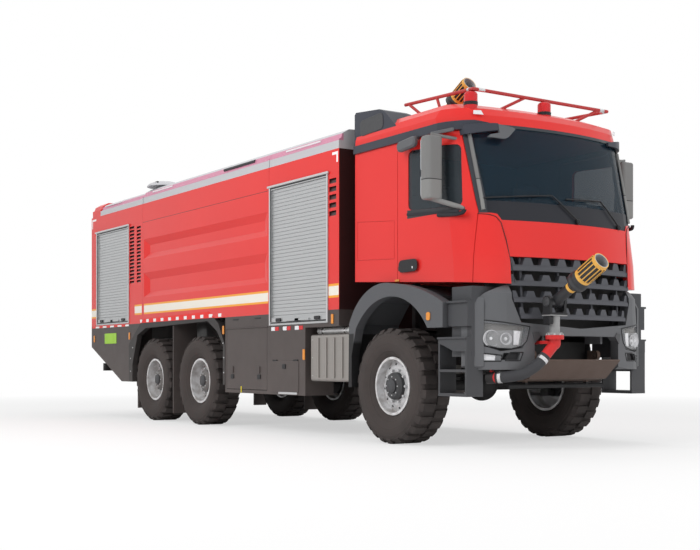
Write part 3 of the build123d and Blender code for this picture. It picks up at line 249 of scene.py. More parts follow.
def red_paint(name):
    """Clear-coated red with a faint ripple and dust near its lower edge."""
    f = Finish(name, RED, Roughness=0.32, Coat_Weight=0.2, Coat_Roughness=0.06, Specular_IOR_Level=0.2)
    uneven = f.blend(f.noise(0.8, 2.0), RED, (0.64, 0.024, 0.022))
    f.set("Base Color", dusted(f, uneven, 1.9, 0.5))
    f.set("Roughness", f.noise(9.0, 3.0) * 0.08 + 0.28)
    f.bump(f.noise(2.2, 1.0), 0.04, 0.02)
    return f


def body_red():
    """Red body with its cream band edged in yellow, white squares and corner marks, and painted shade: a
    darker red in the louvres' recesses and on the front face that looks into the gap to the cab.
    """
    f = red_paint("body_red")
    out = f.y.math("ABSOLUTE")
    side = out.rise(SIDE - 0.004, 0.004)
    tank = f.x.within(-6.06, -2.42).either(f.x.within(-6.40, -6.14))
    posts = f.x.within(-1.09, -0.89).either(f.x.within(REAR_X, -7.92))
    band = side * tank.either(posts)
    f.paint(f.z.within(1.53, 1.68) * band, (0.80, 0.34, 0.03))
    f.paint(f.z.within(1.555, 1.655) * band, (0.78, 0.74, 0.66))
    f.paint(white_squares(f) * side * f.x.within(-6.2, -3.6), SQUARE_WHITE)
    mark_top = f.z.within(3.075, 3.105)
    front_mark = f.x.within(-1.02, -0.905) * mark_top + f.x.within(-0.935, -0.905) * f.z.within(2.99, 3.105)
    rear_mark = f.x.within(-8.10, -7.93) * mark_top + f.x.within(-8.10, -8.07) * f.z.within(2.96, 3.105)
    f.paint((front_mark + rear_mark).math("MINIMUM", 1.0) * side, TAPE_WHITE)
    # painted shade: the louvres' recessed faces are painted a darker red
    louvres = f.x.within(-1.09, -0.93).either(f.x.within(-6.60, -6.16))
    recessed = out.within(SIDE - 0.03, SIDE - 0.004, 0.004)
    f.paint(louvres * f.z.within(1.98, 2.87) * recessed, (0.03, 0.012, 0.012))
    underside = (1 - out.rise(1.10, 0.01)) * (1 - f.z.rise(1.42, 0.01))
    f.paint(f.z.within(1.0, 1.399) + underside, (0.05, 0.045, 0.043))
    f.paint(f.x.within(-6.2, -3.6) * (1 - f.z.rise(1.50)) * (1 - side), (0.03, 0.028, 0.028))
    f.paint(f.z.within(2.862, 2.868) * f.x.within(-6.10, -2.40) * side, (0.06, 0.01, 0.01))
    # painted shade: the front face that looks into the gap to the cab is painted a darker red
    f.paint(f.x.rise(-0.892, 0.003) * (1 - side), (0.035, 0.014, 0.014))
    return f


def cab_red(name, door=False):
    """Cab red with black window posts, dark inner faces and, on the doors, black handles and rubbers.

    The side skin draws in towards the nose by the square of the distance past its bend, as on the solid.
    """
    f = red_paint(name)
    out = f.y.math("ABSOLUTE")
    if door:
        f.paint(out.rise(CAB + 0.001, 0.001) * f.z.within(1.7, 1.85), BLACK)
        rubber = f.x.within(0.21, 1.04) * f.z.within(2.262, 2.348) * (1 - (f.z + f.x * 0.062).rise(2.3595))
        f.paint(rubber, (0.028, 0.03, 0.034))
    else:
        seam = (f.z - 2.25).math("MAXIMUM", 0.0) * -0.267 + 1.140
        f.paint((f.x - seam).rise(0.002) * f.z.rise(2.232, 0.004), (0.035, 0.038, 0.045))
    nose = 1.43 - (f.z - 1.82).math("MAXIMUM", 0.0) * 0.159 - (f.z - 2.349).math("MAXIMUM", 0.0) * 0.065
    bend = (f.x - nose + 0.49).math("MAXIMUM", 0.0)
    skin = CAB - bend * bend * 1.91
    inside = (1 - (out - skin).rise(-0.040, 0.01)) * f.z.rise(1.70, 0.01)
    f.paint(inside * (1 - f.x.rise(1.12, 0.01)) * f.x.rise(-0.69, 0.01), (0.06, 0.062, 0.066))
    return f


def grey_plastic(name, color, roughness=0.5, dust=0.35):
    """Moulded plastic with a fine leather grain."""
    f = Finish(name, color, Specular_IOR_Level=0.25)
    uneven = f.blend(f.noise(1.7, 4.0), color, shade(color, 1.12))
    f.set("Base Color", dusted(f, uneven, 1.5, dust))
    f.set("Roughness", f.noise(6.0, 4.0) * 0.15 + roughness - 0.07)
    f.bump(f.noise(LEATHER_GRAIN, 2.0), 0.12, 0.0006)
    return f


def tread_plastic():
    """Step plastic with raised lozenges, one every 24 mm, from two crossed sines."""
    f = grey_plastic("step_plastic", (0.055, 0.057, 0.062), dust=0.15)
    lozenge = ((f.x + f.y) * 260.0).math("SINE") * ((f.x - f.y) * 260.0).math("SINE")
    f.bump(lozenge.rise(0.3, 0.4), 0.5, 0.002)
    return f


def skirt_paint():
    """Satin grey paint of the lower cladding, dustier towards the ground, with its red and white tape."""
    f = Finish("skirt_paint", (0.062, 0.053, 0.051), Specular_IOR_Level=0.25)
    f.set("Base Color", dusted(f, (0.066, 0.055, 0.053), 1.6, 0.35))
    f.set("Roughness", f.noise(7.0, 4.0) * 0.16 + 0.4)
    side = f.y.math("ABSOLUTE").rise(SIDE - 0.004, 0.004)
    tape = f.x.within(-8.10, -6.62) * f.z.within(1.372, 1.398) * side
    f.paint(tape, (0.70, 0.05, 0.04))
    f.paint(tape * (f.x + 8.1).wave(0.3, 0.5), TAPE_WHITE)
    return f


def arch_plastic():
    """Arch trim: black plastic, red with white squares where its upper edge laps the body."""
    f = grey_plastic("arch_plastic", (0.030, 0.028, 0.028), 0.5)
    f.paint(f.z.rise(1.405, 0.003), RED)
    f.paint(white_squares(f), SQUARE_WHITE)
    return f


def silver_paint():
    """Metallic silver of the roof, with the pink strip let into each eave."""
    f = Finish("silver_paint", (0.50, 0.50, 0.52), Metallic=0.2, Roughness=0.42)
    f.set("Roughness", f.noise(14.0, 3.0) * 0.12 + 0.36)
    f.bump(f.noise(4.0, 2.0), 0.05, 0.01)
    out = f.y.math("ABSOLUTE")
    f.paint(f.z.within(3.222, 3.298) * out.rise(SIDE - 0.06, 0.004), (0.60, 0.25, 0.36))
    return f


def brushed(name, color, axis, roughness=0.36):
    """Brushed metal, its fine lines running along one axis."""
    f = Finish(name, color, Metallic=0.6)
    stretch = [160.0, 160.0, 160.0]
    stretch[axis] = 2.0
    lines = f.noise(3.0, 3.0, tuple(stretch))
    f.set("Roughness", lines * 0.2 + roughness - 0.1)
    f.set("Base Color", f.blend(lines, color, shade(color, 0.86)))
    f.bump(lines, 0.06, 0.0006)
    return f


def box_steel():
    """Dusty sheet steel of the side boxes, with the bright pipe above them."""
    f = brushed("box_steel", (0.34, 0.32, 0.30), 0, 0.46)
    f.paint(f.z.rise(1.142, 0.004), (0.78, 0.78, 0.78))
    return f


def tyre_rubber(place):
    """Black rubber: worn tread, ringed walls greyed with dust."""
    f = Finish("tyre_rubber_" + place, (0.03, 0.029, 0.029), Specular_IOR_Level=0.15)
    patch = f.noise(5.0, 5.0)
    radius = from_hub(f, place)
    wall = 1 - radius.rise(WALL_R, 0.03)
    f.set("Base Color", f.blend(patch.rise(0.45, 0.5), (0.034, 0.030, 0.029), (0.075, 0.064, 0.061)))
    f.paint(wall * (patch * 0.7 + 0.35), (0.062, 0.052, 0.049))
    f.set("Roughness", patch * 0.2 + 0.62)
    inner_rings = radius.within(0.352, 0.362, 0.006) + radius.within(0.43, 0.436, 0.004)
    rings = inner_rings + radius.within(0.50, 0.512, 0.006)
    f.bump(rings + f.noise(260.0, 3.0) * 0.2, 0.6, 0.004)
    return f


def rim_paint(place, disc_color, hub_color):
    """Silver wheel paint: bright outer bead, dusty disc, and the hub in its own colour."""
    f = Finish("rim_paint_" + place, (0.6, 0.6, 0.61), Metallic=0.25)
    dust = f.noise(11.0, 4.0)
    radius = from_hub(f, place)
    f.set("Base Color", f.blend(dust.rise(0.55, 0.3), (0.70, 0.70, 0.71), (0.40, 0.38, 0.37)))
    f.paint((1 - radius.rise(DISC_R, 0.01)) * (dust * 0.5 + 0.5), disc_color)
    f.paint(1 - radius.rise(HUB_R, 0.004), hub_color)
    f.set("Roughness", dust * 0.2 + 0.34)
    return f


def plain(name, color, roughness=0.5, metallic=0.0, grain=30.0, depth=0.0004):
    """One colour with a slight unevenness in tone, gloss and surface."""
    f = Finish(name, color, Metallic=metallic, Specular_IOR_Level=0.3)
    spread = f.noise(grain, 4.0)
    f.set("Base Color", f.blend(spread, color, shade(color, 0.8)))
    f.set("Roughness", spread * 0.16 + roughness - 0.08)
    f.bump(f.noise(grain * 12, 2.0), 0.1, depth)
    return f


def glazing(name, color, alpha, specular):
    """Tinted glass that mirrors the room and lets what lies behind it show."""
    return Finish(name, color, Roughness=0.03, Alpha=alpha, Specular_IOR_Level=specular)


def lamp_housing():
    """Bright inner housing of a headlamp, with fine level ribs along its top."""
    f = Finish("lamp_housing", (0.26, 0.26, 0.265), Metallic=0.3, Roughness=0.4)
    top = f.z.rise(1.125, 0.004)
    f.paint(top, (0.22, 0.21, 0.20))
    f.bump((f.z * 700.0).math("SINE") * top, 0.6, 0.004)
    return f


def guard_finish():
    """Brown-grey skid plate and black tube below it."""
    f = plain("skid_steel", (0.115, 0.078, 0.063), 0.5, 0.1, 8.0)
    f.paint(1 - f.z.rise(0.632, 0.004), (0.018, 0.018, 0.019))
    return f


def nozzle_finish(where):
    """Black barrel and collar, a thin yellow ring, and a yellow sleeve with black slots between its ribs."""
    x0, y0, z0, length = TURRETS[where]
    f = Finish("nozzle_" + where, BLACK, Roughness=0.4)
    dx, dy, dz = f.x - x0, f.y - y0, f.z - z0
    along = (dx * math.cos(LIFT) + dz * math.sin(LIFT)) / length
    up = dz * math.cos(LIFT) - dx * math.sin(LIFT)
    radius = (up * up + dy * dy).math("SQRT")
    f.set("Base Color", f.blend(f.noise(20.0, 4.0), BLACK, (0.035, 0.035, 0.038)))
    ends = (1 - along.rise(0.655)).either(along.rise(0.945))
    f.paint(along.rise(0.602) * radius.rise(0.0845, 0.001).either(ends), NOZZLE_YELLOW)
    f.paint(along.within(0.34, 0.385), NOZZLE_YELLOW)
    f.paint(along.rise(0.70) * (1 - radius.rise(0.0735, 0.001)), (0.34, 0.34, 0.35))
    return f


def hose_rubber():
    """Black hose whose fine moulded rings come from a sine across its route."""
    f = Finish("hose_rubber", (0.05, 0.05, 0.053), Specular_IOR_Level=0.3)
    f.set("Roughness", f.noise(30.0, 3.0) * 0.2 + 0.5)
    f.set("Base Color", dusted(f, (0.036, 0.038, 0.043), 1.5, 0.15))
    f.bump(((f.x - f.y + f.z) * 420.0).math("SINE"), 0.25, 0.001)
    return f


def seat_cloth():
    """Dark woven seat cloth."""
    f = Finish("seat_cloth", (0.035, 0.036, 0.04), Roughness=0.9, Sheen_Weight=0.3)
    across = (f.y * 900.0).math("SINE") * (f.z * 900.0 + f.x * 900.0).math("SINE")
    f.set("Base Color", f.blend(across * 0.5 + 0.5, (0.028, 0.029, 0.033), (0.06, 0.062, 0.068)))
    f.bump(across, 0.3, 0.0008)
    return f


def mirror_shell():
    """Mirror housing whose lower section is a lighter grey."""
    f = grey_plastic("mirror_shell", (0.17, 0.17, 0.168))
    f.paint(1 - f.z.rise(2.56, 0.004), (0.22, 0.22, 0.215))
    f.paint(f.z.within(2.556, 2.564, 0.003), BLACK)
    return f


def fork_finish():
    """Cast turret fork: black above, bare grey pipe below."""
    f = plain("front_fork", (0.030, 0.030, 0.032), 0.45, 0.2)
    f.paint(1 - f.z.rise(1.268, 0.004), (0.30, 0.30, 0.30))
    return f


def stand_finish():
    """Red elbow and pedestal; the valve at the hose's low end is black."""
    f = plain("stand_red", (0.60, 0.03, 0.03), 0.35)
    f.paint((1 - f.z.rise(0.80, 0.004)) * (1 - f.x.rise(1.285, 0.004)), (0.022, 0.020, 0.020))
    return f


def fender_finish():
    """Fender plastic whose rear leg is a black rubber flap."""
    f = grey_plastic("fender_plastic", (0.085, 0.088, 0.095), dust=0.2)
    f.paint((1 - f.x.rise(-0.60, 0.01)) * (1 - f.z.rise(1.13, 0.01)), (0.020, 0.020, 0.021))
    return f


FINISHES = {
    "red": red_paint("red_paint"),
    "body": body_red(),
    "shell": cab_red("shell_red"),
    "door": cab_red("door_red", True),
    "rack": plain("rack_red", (0.46, 0.05, 0.05), 0.45, 0.0, 8.0),
    "plastic": grey_plastic("grey_plastic", (0.066, 0.068, 0.073)),
    "bumper": grey_plastic("bumper_plastic", (0.105, 0.108, 0.115), dust=0.15),
    "grille": grey_plastic("grille_plastic", (0.074, 0.076, 0.086), dust=0.1),
    "band": grey_plastic("band_plastic", (0.040, 0.043, 0.055), 0.42, 0.0),
    "cowl": grey_plastic("cowl_plastic", (0.016, 0.017, 0.022), 0.4, 0.0),
    "steps": tread_plastic(),
    "skirt": skirt_paint(),
    "trim": arch_plastic(),
    "silver": silver_paint(),
    "slats": brushed("slat_metal", (0.50, 0.51, 0.515), 0),
    "steel": box_steel(),
    "alloy": brushed("ladder_alloy", (0.62, 0.62, 0.63), 2),
    "chrome": plain("bright_metal", (0.78, 0.78, 0.79), 0.2, 0.95, 12.0, 0.0001),
    **{"tyre_" + place: tyre_rubber(place) for place in WHEEL_X},
    "rim_front": rim_paint("front", (0.55, 0.55, 0.56), (0.05, 0.05, 0.052)),
    "rim_mid": rim_paint("mid", (0.33, 0.31, 0.30), (0.16, 0.15, 0.145)),
    "rim_rear": rim_paint("rear", (0.33, 0.31, 0.30), (0.16, 0.15, 0.145)),
    "chassis": plain("chassis_black", (0.028, 0.027, 0.027), 0.55),
    "black": plain("trim_black", (0.018, 0.018, 0.02), 0.42),
    "dash": plain("dash_grey", (0.05, 0.052, 0.056), 0.6),
    "cast": plain("cast_grey", (0.075, 0.076, 0.08), 0.45, 0.3),
    "nozzle_front": nozzle_finish("front"),
    "nozzle_roof": nozzle_finish("roof"),
    "glass": glazing("windscreen_glass", (0.010, 0.026, 0.042), 0.55, 0.18),
    "side_glass": glazing("door_glass", (0.040, 0.052, 0.062), 0.55, 0.25),
    "mirror": Finish("mirror_glass", (0.72, 0.74, 0.76), Metallic=1.0, Roughness=0.02),
    "clear": glazing("clear_lens", (0.50, 0.52, 0.54), 0.07, 0.5),
    "bowl_housing": lamp_housing(),
    "bowl": plain("bowl_silver", (0.70, 0.70, 0.72), 0.22, 0.35),
    "red_lens": plain("red_lens", (0.62, 0.02, 0.025), 0.18),
    "amber": plain("amber_lens", (0.80, 0.30, 0.05), 0.2),
    "white_lens": plain("white_lens", (0.82, 0.82, 0.84), 0.25),
    "plate": plain("plate_green", (0.36, 0.66, 0.05), 0.45, 0.0, 6.0),
    "yellow": plain("cap_yellow", (0.62, 0.50, 0.03), 0.4),
    "cloth": seat_cloth(),
    "hose": hose_rubber(),
    "skid": guard_finish(),
    "front_fork": fork_finish(),
    "stand": stand_finish(),
    "fender": fender_finish(),
    "mirror_shell": mirror_shell(),
    "fittings_red": plain("fitting_red", (0.60, 0.03, 0.03), 0.35),
}

NODE_FINISH = {
    "red": ["cab_roof", "front_panel"],
    "shell": ["cab_shell"],
    "door": ["cab_door_right", "cab_door_left"],
    "rack": ["roof_rack"],
    "body": ["locker_front", "tank_body", "locker_rear"],
    "fender": ["front_fenders"],
    "bumper": ["bumper"],
    "grille": ["grille"],
    "band": ["roof_trim"],
    "cowl": ["wiper_cowl"],
    "steps": ["cab_steps"],
    "skirt": ["side_skirts", "skirt_door_right", "skirt_door_left"],
    "trim": ["arch_trim"],
    "silver": ["roof_deck"],
    "slats": ["roller_shutters"],
    "steel": ["silencer_box", "fuel_tank"],
    "alloy": ["rear_ladder"],
    "chassis": ["chassis_frame", "axles", "suspension", "driveline", "rear_bumper", "knuckle_right",
                "knuckle_left"],
    "dash": ["cab_interior"],
    "cloth": ["seats"],
    "front_fork": ["front_turret_fork"],
    "cast": ["roof_turret_fork"],
    "nozzle_front": ["front_turret_nozzle"],
    "nozzle_roof": ["roof_turret_nozzle"],
    "glass": ["windscreen"],
    "side_glass": ["door_glass_right", "door_glass_left"],
    "red_lens": ["beacons", "tail_lamps"],
    "hose": ["feed_hose"],
    "skid": ["front_guard"],
    "stand": ["turret_stand"],
    **{"tyre_" + place: ["tyre_" + place + "_right", "tyre_" + place + "_left"] for place in WHEEL_X},
    **{"rim_" + place: ["rim_" + place + "_right", "rim_" + place + "_left"] for place in WHEEL_X},
    "mirror_shell": ["mirror_right", "mirror_left"],
}


def dress_nodes():
    """Give each carried-over node its finish."""
    for key, names in NODE_FINISH.items():
        for name in names:
            for slot in bpy.data.objects[name].material_slots:
                slot.material = FINISHES[key].material


# Surfaces

FACINGS = {     # across, up and outwards
    "-y": ((1, 0, 0), (0, 0, 1), (0, -1, 0)),
    "+x": ((0, 1, 0), (0, 0, 1), (1, 0, 0)),
    "-x": ((0, -1, 0), (0, 0, 1), (-1, 0, 0)),
    "+z": ((1, 0, 0), (0, 1, 0), (0, 0, 1)),
}


def unit(vector):
    """The vector at length one."""
    return np.asarray(vector, float) / np.linalg.norm(vector)


def square_to(way):
    """A unit axis, and two unit vectors square to it and to each other."""
    out = unit(way)
    first = unit(np.cross(out, (0, 0, 1) if abs(out[2]) < 0.9 else (1, 0, 0)))
    return out, first, np.cross(out, first)


def line_between(start, end, count):
    """Points at even steps on the straight line from start to end."""
    share = np.linspace(0, 1, count)[:, None]
    return np.array(start) * (1 - share) + np.array(end) * share


def divided(outline, steps):
    """Closed outline with each of its runs cut into even steps."""
    corner = np.asarray(outline, float)
    along = np.linspace(0, 1, steps, endpoint=False)[None, :, None]
    return (corner[:, None] * (1 - along) + np.roll(corner, -1, axis=0)[:, None] * along).reshape(-1, 2)


def at(points):
    """Points given from the front axle, moved into the frame."""
    return np.asarray(points, float) + (AXLE_X, 0.0, 0.0)


def mirrored(patches):
    """The same skins on the other side of the truck."""
    return [patch * (1.0, -1.0, 1.0) for patch in patches]


def both(patches):
    """Skins given for the right side, with the same ones on the left."""
    return list(patches) + mirrored(patches)


def rounded(width, height, corner, steps=4):
    """Rectangle with arcs at its corners: four centres plus a circle's points, anticlockwise."""
    angle = np.linspace(0, TAU / 4, steps + 1)[None, :] + np.arange(4)[:, None] * TAU / 4
    across = np.array([1, -1, -1, 1])[:, None] * (width / 2 - corner) + corner * np.cos(angle)
    up = np.array([1, 1, -1, -1])[:, None] * (height / 2 - corner) + corner * np.sin(angle)
    return np.stack([across, up], -1).reshape(-1, 2)


def slab(centre, size, facing="-y", corner=0.006, edge=0.0025, lean=0.0):
    """Plate standing on centre: its round-cornered outline at four depths, drawn in by edge at both faces.

    size is across, up and thick; lean turns the plate about its outward axis.
    """
    across, up, out = [np.array(a, float) for a in FACINGS[facing]]
    width, height, thick = size
    across, up = across * math.cos(lean) + up * math.sin(lean), up * math.cos(lean) - across * math.sin(lean)
    rings = []
    for depth, inset in ((0, edge), (edge, 0), (thick - edge, 0), (thick, edge)):
        outline = rounded(width - 2 * inset, height - 2 * inset, max(corner - inset, 0.0006))
        rings.append(outline[:, :1] * across + outline[:, 1:] * up + depth * out)
    return at(centre) + np.stack(rings)


def spun(profile, centre, axis=(0, -1, 0), sides=24):
    """Profile of (along, radius) turned about an axis through centre."""
    out, first, second = square_to(axis)
    angle = np.linspace(0, TAU, sides, endpoint=False)[:, None]
    circle = np.cos(angle) * first + np.sin(angle) * second
    profile = np.asarray(profile, float)
    return at(centre) + profile[:, 0, None, None] * out + profile[:, 1, None, None] * circle


def tube(points, radius, sides=10):
    """Circle carried along a line of points, each ring square to the line between its neighbours."""
    line = at(points)
    way = np.gradient(line, axis=0)
    way = way / np.linalg.norm(way, axis=1)[:, None]
    level = np.eye(3)[np.argmin(np.abs(way).mean(axis=0))]
    first = np.cross(way, level)
    first = first / np.linalg.norm(first, axis=1)[:, None]
    second = np.cross(way, first)
    angle = np.linspace(0, TAU, sides, endpoint=False)[None, :, None]
    return line[:, None] + radius * (np.cos(angle) * first[:, None] + np.sin(angle) * second[:, None])


def eased(points, steps=24):
    """Smooth line through control points: a quadratic curve between the middles of its runs."""
    p = np.asarray(points, float)
    inner = np.concatenate([p[:1], (p[1:-2] + p[2:-1]) / 2, p[-1:]])
    t = np.linspace(0, 1, steps)[:, None]
    runs = [(1 - t) ** 2 * a + 2 * t * (1 - t) * b + t ** 2 * c for a, b, c in zip(inner, p[1:-1], inner[1:])]
    return np.concatenate([runs[0]] + [run[1:] for run in runs[1:]])


def dome(radius, height):
    """Bolt head or button profile: a short wall and a crown."""
    return [(-0.001, radius), (height * 0.5, radius), (height * 0.8, radius * 0.8), (height, radius * 0.35)]


SHARP = math.radians(35)                          # edges that turn by more stay sharp


def piece(name, patches, finish, body="truck"):
    """One object from closed skins.

    Each patch is an array (rings, points, xyz): neighbouring rings are joined by quads that close round,
    and the first and last ring are closed by one face each.
    """
    points, faces, start = [], [], 0
    for patch in patches:
        rings, count = patch.shape[:2]
        index = start + np.arange(rings * count).reshape(rings, count)
        turn = np.roll(index, -1, axis=1)
        quads = np.stack([index[:-1], turn[:-1], turn[1:], index[1:]], axis=-1).reshape(-1, 4)
        faces += quads.tolist() + [index[0][::-1].tolist(), index[-1].tolist()]
        points.append(patch.reshape(-1, 3))
        start += rings * count
    mesh = bpy.data.meshes.new(name)
    mesh.from_pydata(np.concatenate(points).tolist(), [], faces)
    work = bmesh.new()
    work.from_mesh(mesh)
    bmesh.ops.recalc_face_normals(work, faces=work.faces)
    work.to_mesh(mesh)
    work.free()
    mesh.shade_smooth()
    mesh.set_sharp_from_angle(angle=SHARP)
    mesh.materials.append(FINISHES[finish].material)
    made = bpy.data.objects.new(name, mesh)
    bpy.context.collection.objects.link(made)
    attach(made, body)
    return made


def pair(name, patches, finish, body):
    """The same piece on the right and on the left body of one name."""
    piece(name + "_right", patches, finish, body + "_right")
    piece(name + "_left", mirrored(patches), finish, body + "_left")


def circle_of(patch_at, count, radius, centre, axis=(0, -1, 0), start=0.0):
    """Copies of a small form round a circle: patch_at(point) for each point on it."""
    first, second = square_to(axis)[1:]
    angle = (start + np.arange(count) * TAU / count)[:, None]
    spots = np.asarray(centre, float) + radius * (np.cos(angle) * first + np.sin(angle) * second)
    return [patch_at(spot) for spot in spots]


def bolts_round(radius, height, count, circle, centre, axis=(0, -1, 0), sides=6):
    """Domed bolt heads on a circle round axis, each facing the right side."""
    return circle_of(lambda p: spun(dome(radius, height), p, sides=sides), count, circle, centre, axis)


NOSE = ((0.758, 1.475), (1.150, 1.475), (1.820, 1.430), (2.349, 1.346), (3.105, 1.177))     # height, x
ARC_HALF = 0.84                                   # half width of the front's wide arc
ARC_RISE = 0.11                                   # how far that arc falls back at its ends
CORNER_ARC = ((0.0, 0.84), (-0.14, 1.04), (-0.38, 1.15))     # three points from that end: x, y


def front_x(y, z):
    """x of the cab's bowed front face: a wide arc up to |y| = ARC_HALF, then a corner arc to the side.

    Both arcs are circles through known points, the nose's x at each height being their furthest one.
    """
    heights, noses = np.array(NOSE).T
    nose = np.interp(z, heights, noses)
    y = np.abs(np.asarray(y, float))
    bow = (ARC_HALF ** 2 + ARC_RISE ** 2) / (2 * ARC_RISE)
    wide = nose - bow + np.sqrt(np.maximum(bow ** 2 - y ** 2, 0))
    a, b, c = np.array(CORNER_ARC)
    rows = np.array([2 * (b - a), 2 * (c - a)])
    cx, cy = np.linalg.solve(rows, np.array([(b @ b) - (a @ a), (c @ c) - (a @ a)]))
    radius = math.hypot(a[0] - cx, a[1] - cy)
    corner = nose - ARC_RISE + cx + np.sqrt(np.maximum(radius ** 2 - (y - cy) ** 2, 0))
    return np.where(y <= ARC_HALF, wide, corner)


def on_front(points, proud):
    """Points given by y and z, set on the cab's front face and standing proud of it."""
    p = np.asarray(points, float)
    return np.stack([front_x(p[:, 0], p[:, 1]) + proud, p[:, 0], p[:, 1]], -1)


def front_plate(outline, proud, thick):
    """Closed plate on the cab's bowed front.

    The outline is shrunk towards its centre in steps, and every point is set proud of the face.
    """
    edge = divided(outline, 6)
    centre = edge.mean(axis=0)
    rings = [on_front(edge, proud - thick), on_front(edge, proud - 0.002)]
    for share in (0.985, 0.8, 0.6, 0.4, 0.2, 0.02):
        rings.append(on_front(centre + (edge - centre) * share, proud))
    return at(np.stack(rings))


def front_frame(outline, proud, radius):
    """Round bead along a closed outline on the cab's bowed front."""
    edge = divided(outline, 5)
    return tube(on_front(np.concatenate([edge, edge[:1]]), proud), radius, 8)


# Wheels

def wheel_fittings():
    """Nuts, hub cap with its bolts, hand-hole cups and valve of each wheel.

    The disc's face and the hub's face lie outside the tyre's middle by the two lengths in the table.
    """
    nut = [(-0.001, 0.017), (0.004, 0.017), (0.005, 0.0145), (0.026, 0.0145), (0.030, 0.011)]
    hole = [(-0.004, 0.012), (0.002, 0.012), (0.004, 0.010)]
    hub = [(-0.001, 0.072), (0.012, 0.072), (0.02, 0.062), (0.024, 0.03)]
    for place, disc_out, hub_out in (("front", 0.075, 0.135), ("mid", 0.021, 0.090), ("rear", 0.021, 0.090)):
        x, body = WHEEL_X[place], "wheel_" + place
        face, cap = -WHEEL_Y - disc_out, -WHEEL_Y - hub_out
        nuts = circle_of(lambda p: spun(nut, p, sides=6), 10, 0.1675, (x, face, WHEEL_Z))
        nuts += bolts_round(0.0085, 0.008, 8, 0.094, (x, cap, WHEEL_Z))
        valve = [(x + 0.24, face + 0.02, WHEEL_Z + 0.02), (x + 0.235, face - 0.025, WHEEL_Z + 0.02)]
        nuts.append(tube(valve, 0.006))
        disc = (x, face + 0.013, WHEEL_Z)
        holes = circle_of(lambda p: spun(hole, p, sides=12), 12, 0.222, disc, start=0.13)
        pair("wheel_nuts_" + place, nuts, "alloy", body)
        pair("hand_holes_" + place, holes, "black", body)
        pair("hub_cap_" + place, [spun(hub, (x, cap, WHEEL_Z), sides=32)], "cast", body)


# Lamps, markers and plates

def side_markers():
    """Marker lamps, the blank plate with its screws, panel handles, tapes and sill guard of both sides."""
    places = ((-6.584, 1.224), (-7.996, 1.205), (-3.56, 1.24), (-1.008, 1.30))
    lamps = [slab((x, -SIDE, z), (0.042, 0.105, 0.012), edge=0.004) for x, z in places]
    piece("side_marker_lamps", both(lamps), "amber")
    fender_y = float(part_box("front_fenders")[0][1])
    lamps = [slab((-1.600, -SIDE, 0.916), (0.045, 0.120, 0.012), edge=0.004),
             slab((0.690, fender_y, 1.270), (0.060, 0.080, 0.012), corner=0.020, edge=0.004)]
    piece("corner_marker_lamps", both(lamps), "amber")
    plate = slab((-7.33, -SIDE, 1.20), (0.47, 0.16, 0.005), corner=0.012)
    piece("blank_plates", both([plate]), "plate")
    corners = [(x, -SIDE - 0.005, z) for x in (-7.53, -7.13) for z in (1.15, 1.25)]
    screws = [spun(dome(0.006, 0.004), corner, sides=10) for corner in corners]
    piece("plate_screws", both(screws), "chrome")
    handles = [slab((x, -SIDE, 1.362), (0.14, 0.016, 0.006), corner=0.005) for x in (-3.237, -2.675)]
    piece("panel_handles", both(handles), "black")
    for name, first, finish, slot in (("white_tape", -2.30, "white_lens", "lamp"),
                                      ("red_tape", -2.21, "red_lens", "beacon_red")):
        tape = [slab((first + 0.27 * i, -SIDE, 1.222), (0.085, 0.045, 0.003)) for i in range(3)]
        piece(name, both(tape), finish)
    piece("sill_guard", both([slab((-1.96, -SIDE, 0.472), (0.42, 0.026, 0.008))]), "alloy")


def skirt_fittings():
    """Small door with its latch and hinges, and the lower flap's latches and tag."""
    door_face = -SIDE - 0.006
    door = slab((-2.017, -SIDE, 0.663), (0.60, 0.37, 0.006), corner=0.02)
    piece("small_skirt_door", both([door]), "skirt")
    cup = (0.075, 0.055, 0.010)
    door_cup = [slab((-2.034, door_face, 0.78), cup, corner=0.012)]
    piece("latch_cups_truck", door_cup, "black")
    piece("latch_cups_left_skirt", mirrored(door_cup), "black")
    hinges = [tube([(x, door_face, 0.853), (x + 0.10, door_face, 0.853)], 0.007) for x in (-2.30, -1.83)]
    piece("small_door_hinges", both(hinges), "black")
    flap_cups = [slab((x, -SIDE, 0.655), cup, corner=0.012) for x in (-3.317, -2.638)]
    pair("latch_cups_flap_body", flap_cups, "black", "flap_body")
    tag = [slab((-3.088, -SIDE, 0.495), (0.030, 0.080, 0.005))]
    pair("flap_tag", tag, "yellow", "flap_body")


ARCH_MID = ((-6.537, 0.60), (-6.537, 0.95), (-6.232, 1.316), (-6.024, 1.394), (-3.995, 1.429), (-3.72, 1.28),
            (-3.545, 1.045), (-3.545, 0.60))


def arch_bolts():
    """Button bolts at even steps up both legs of the arch trim."""
    line = np.array(ARCH_MID)
    runs = np.linalg.norm(np.diff(line, axis=0), axis=1)
    reach = np.concatenate([[0], np.cumsum(runs)])
    leg = np.arange(0.10, 0.60, 0.19)
    steps = np.concatenate([leg, reach[-1] - leg[::-1]])
    x, z = (np.interp(steps, reach, line[:, axis]) for axis in range(2))
    spots = np.stack([x, np.full(len(steps), -SIDE - 0.006), z], -1)
    bolts = [spun(dome(0.010, 0.006), spot, sides=12) for spot in spots]
    piece("arch_bolts", both(bolts), "alloy")


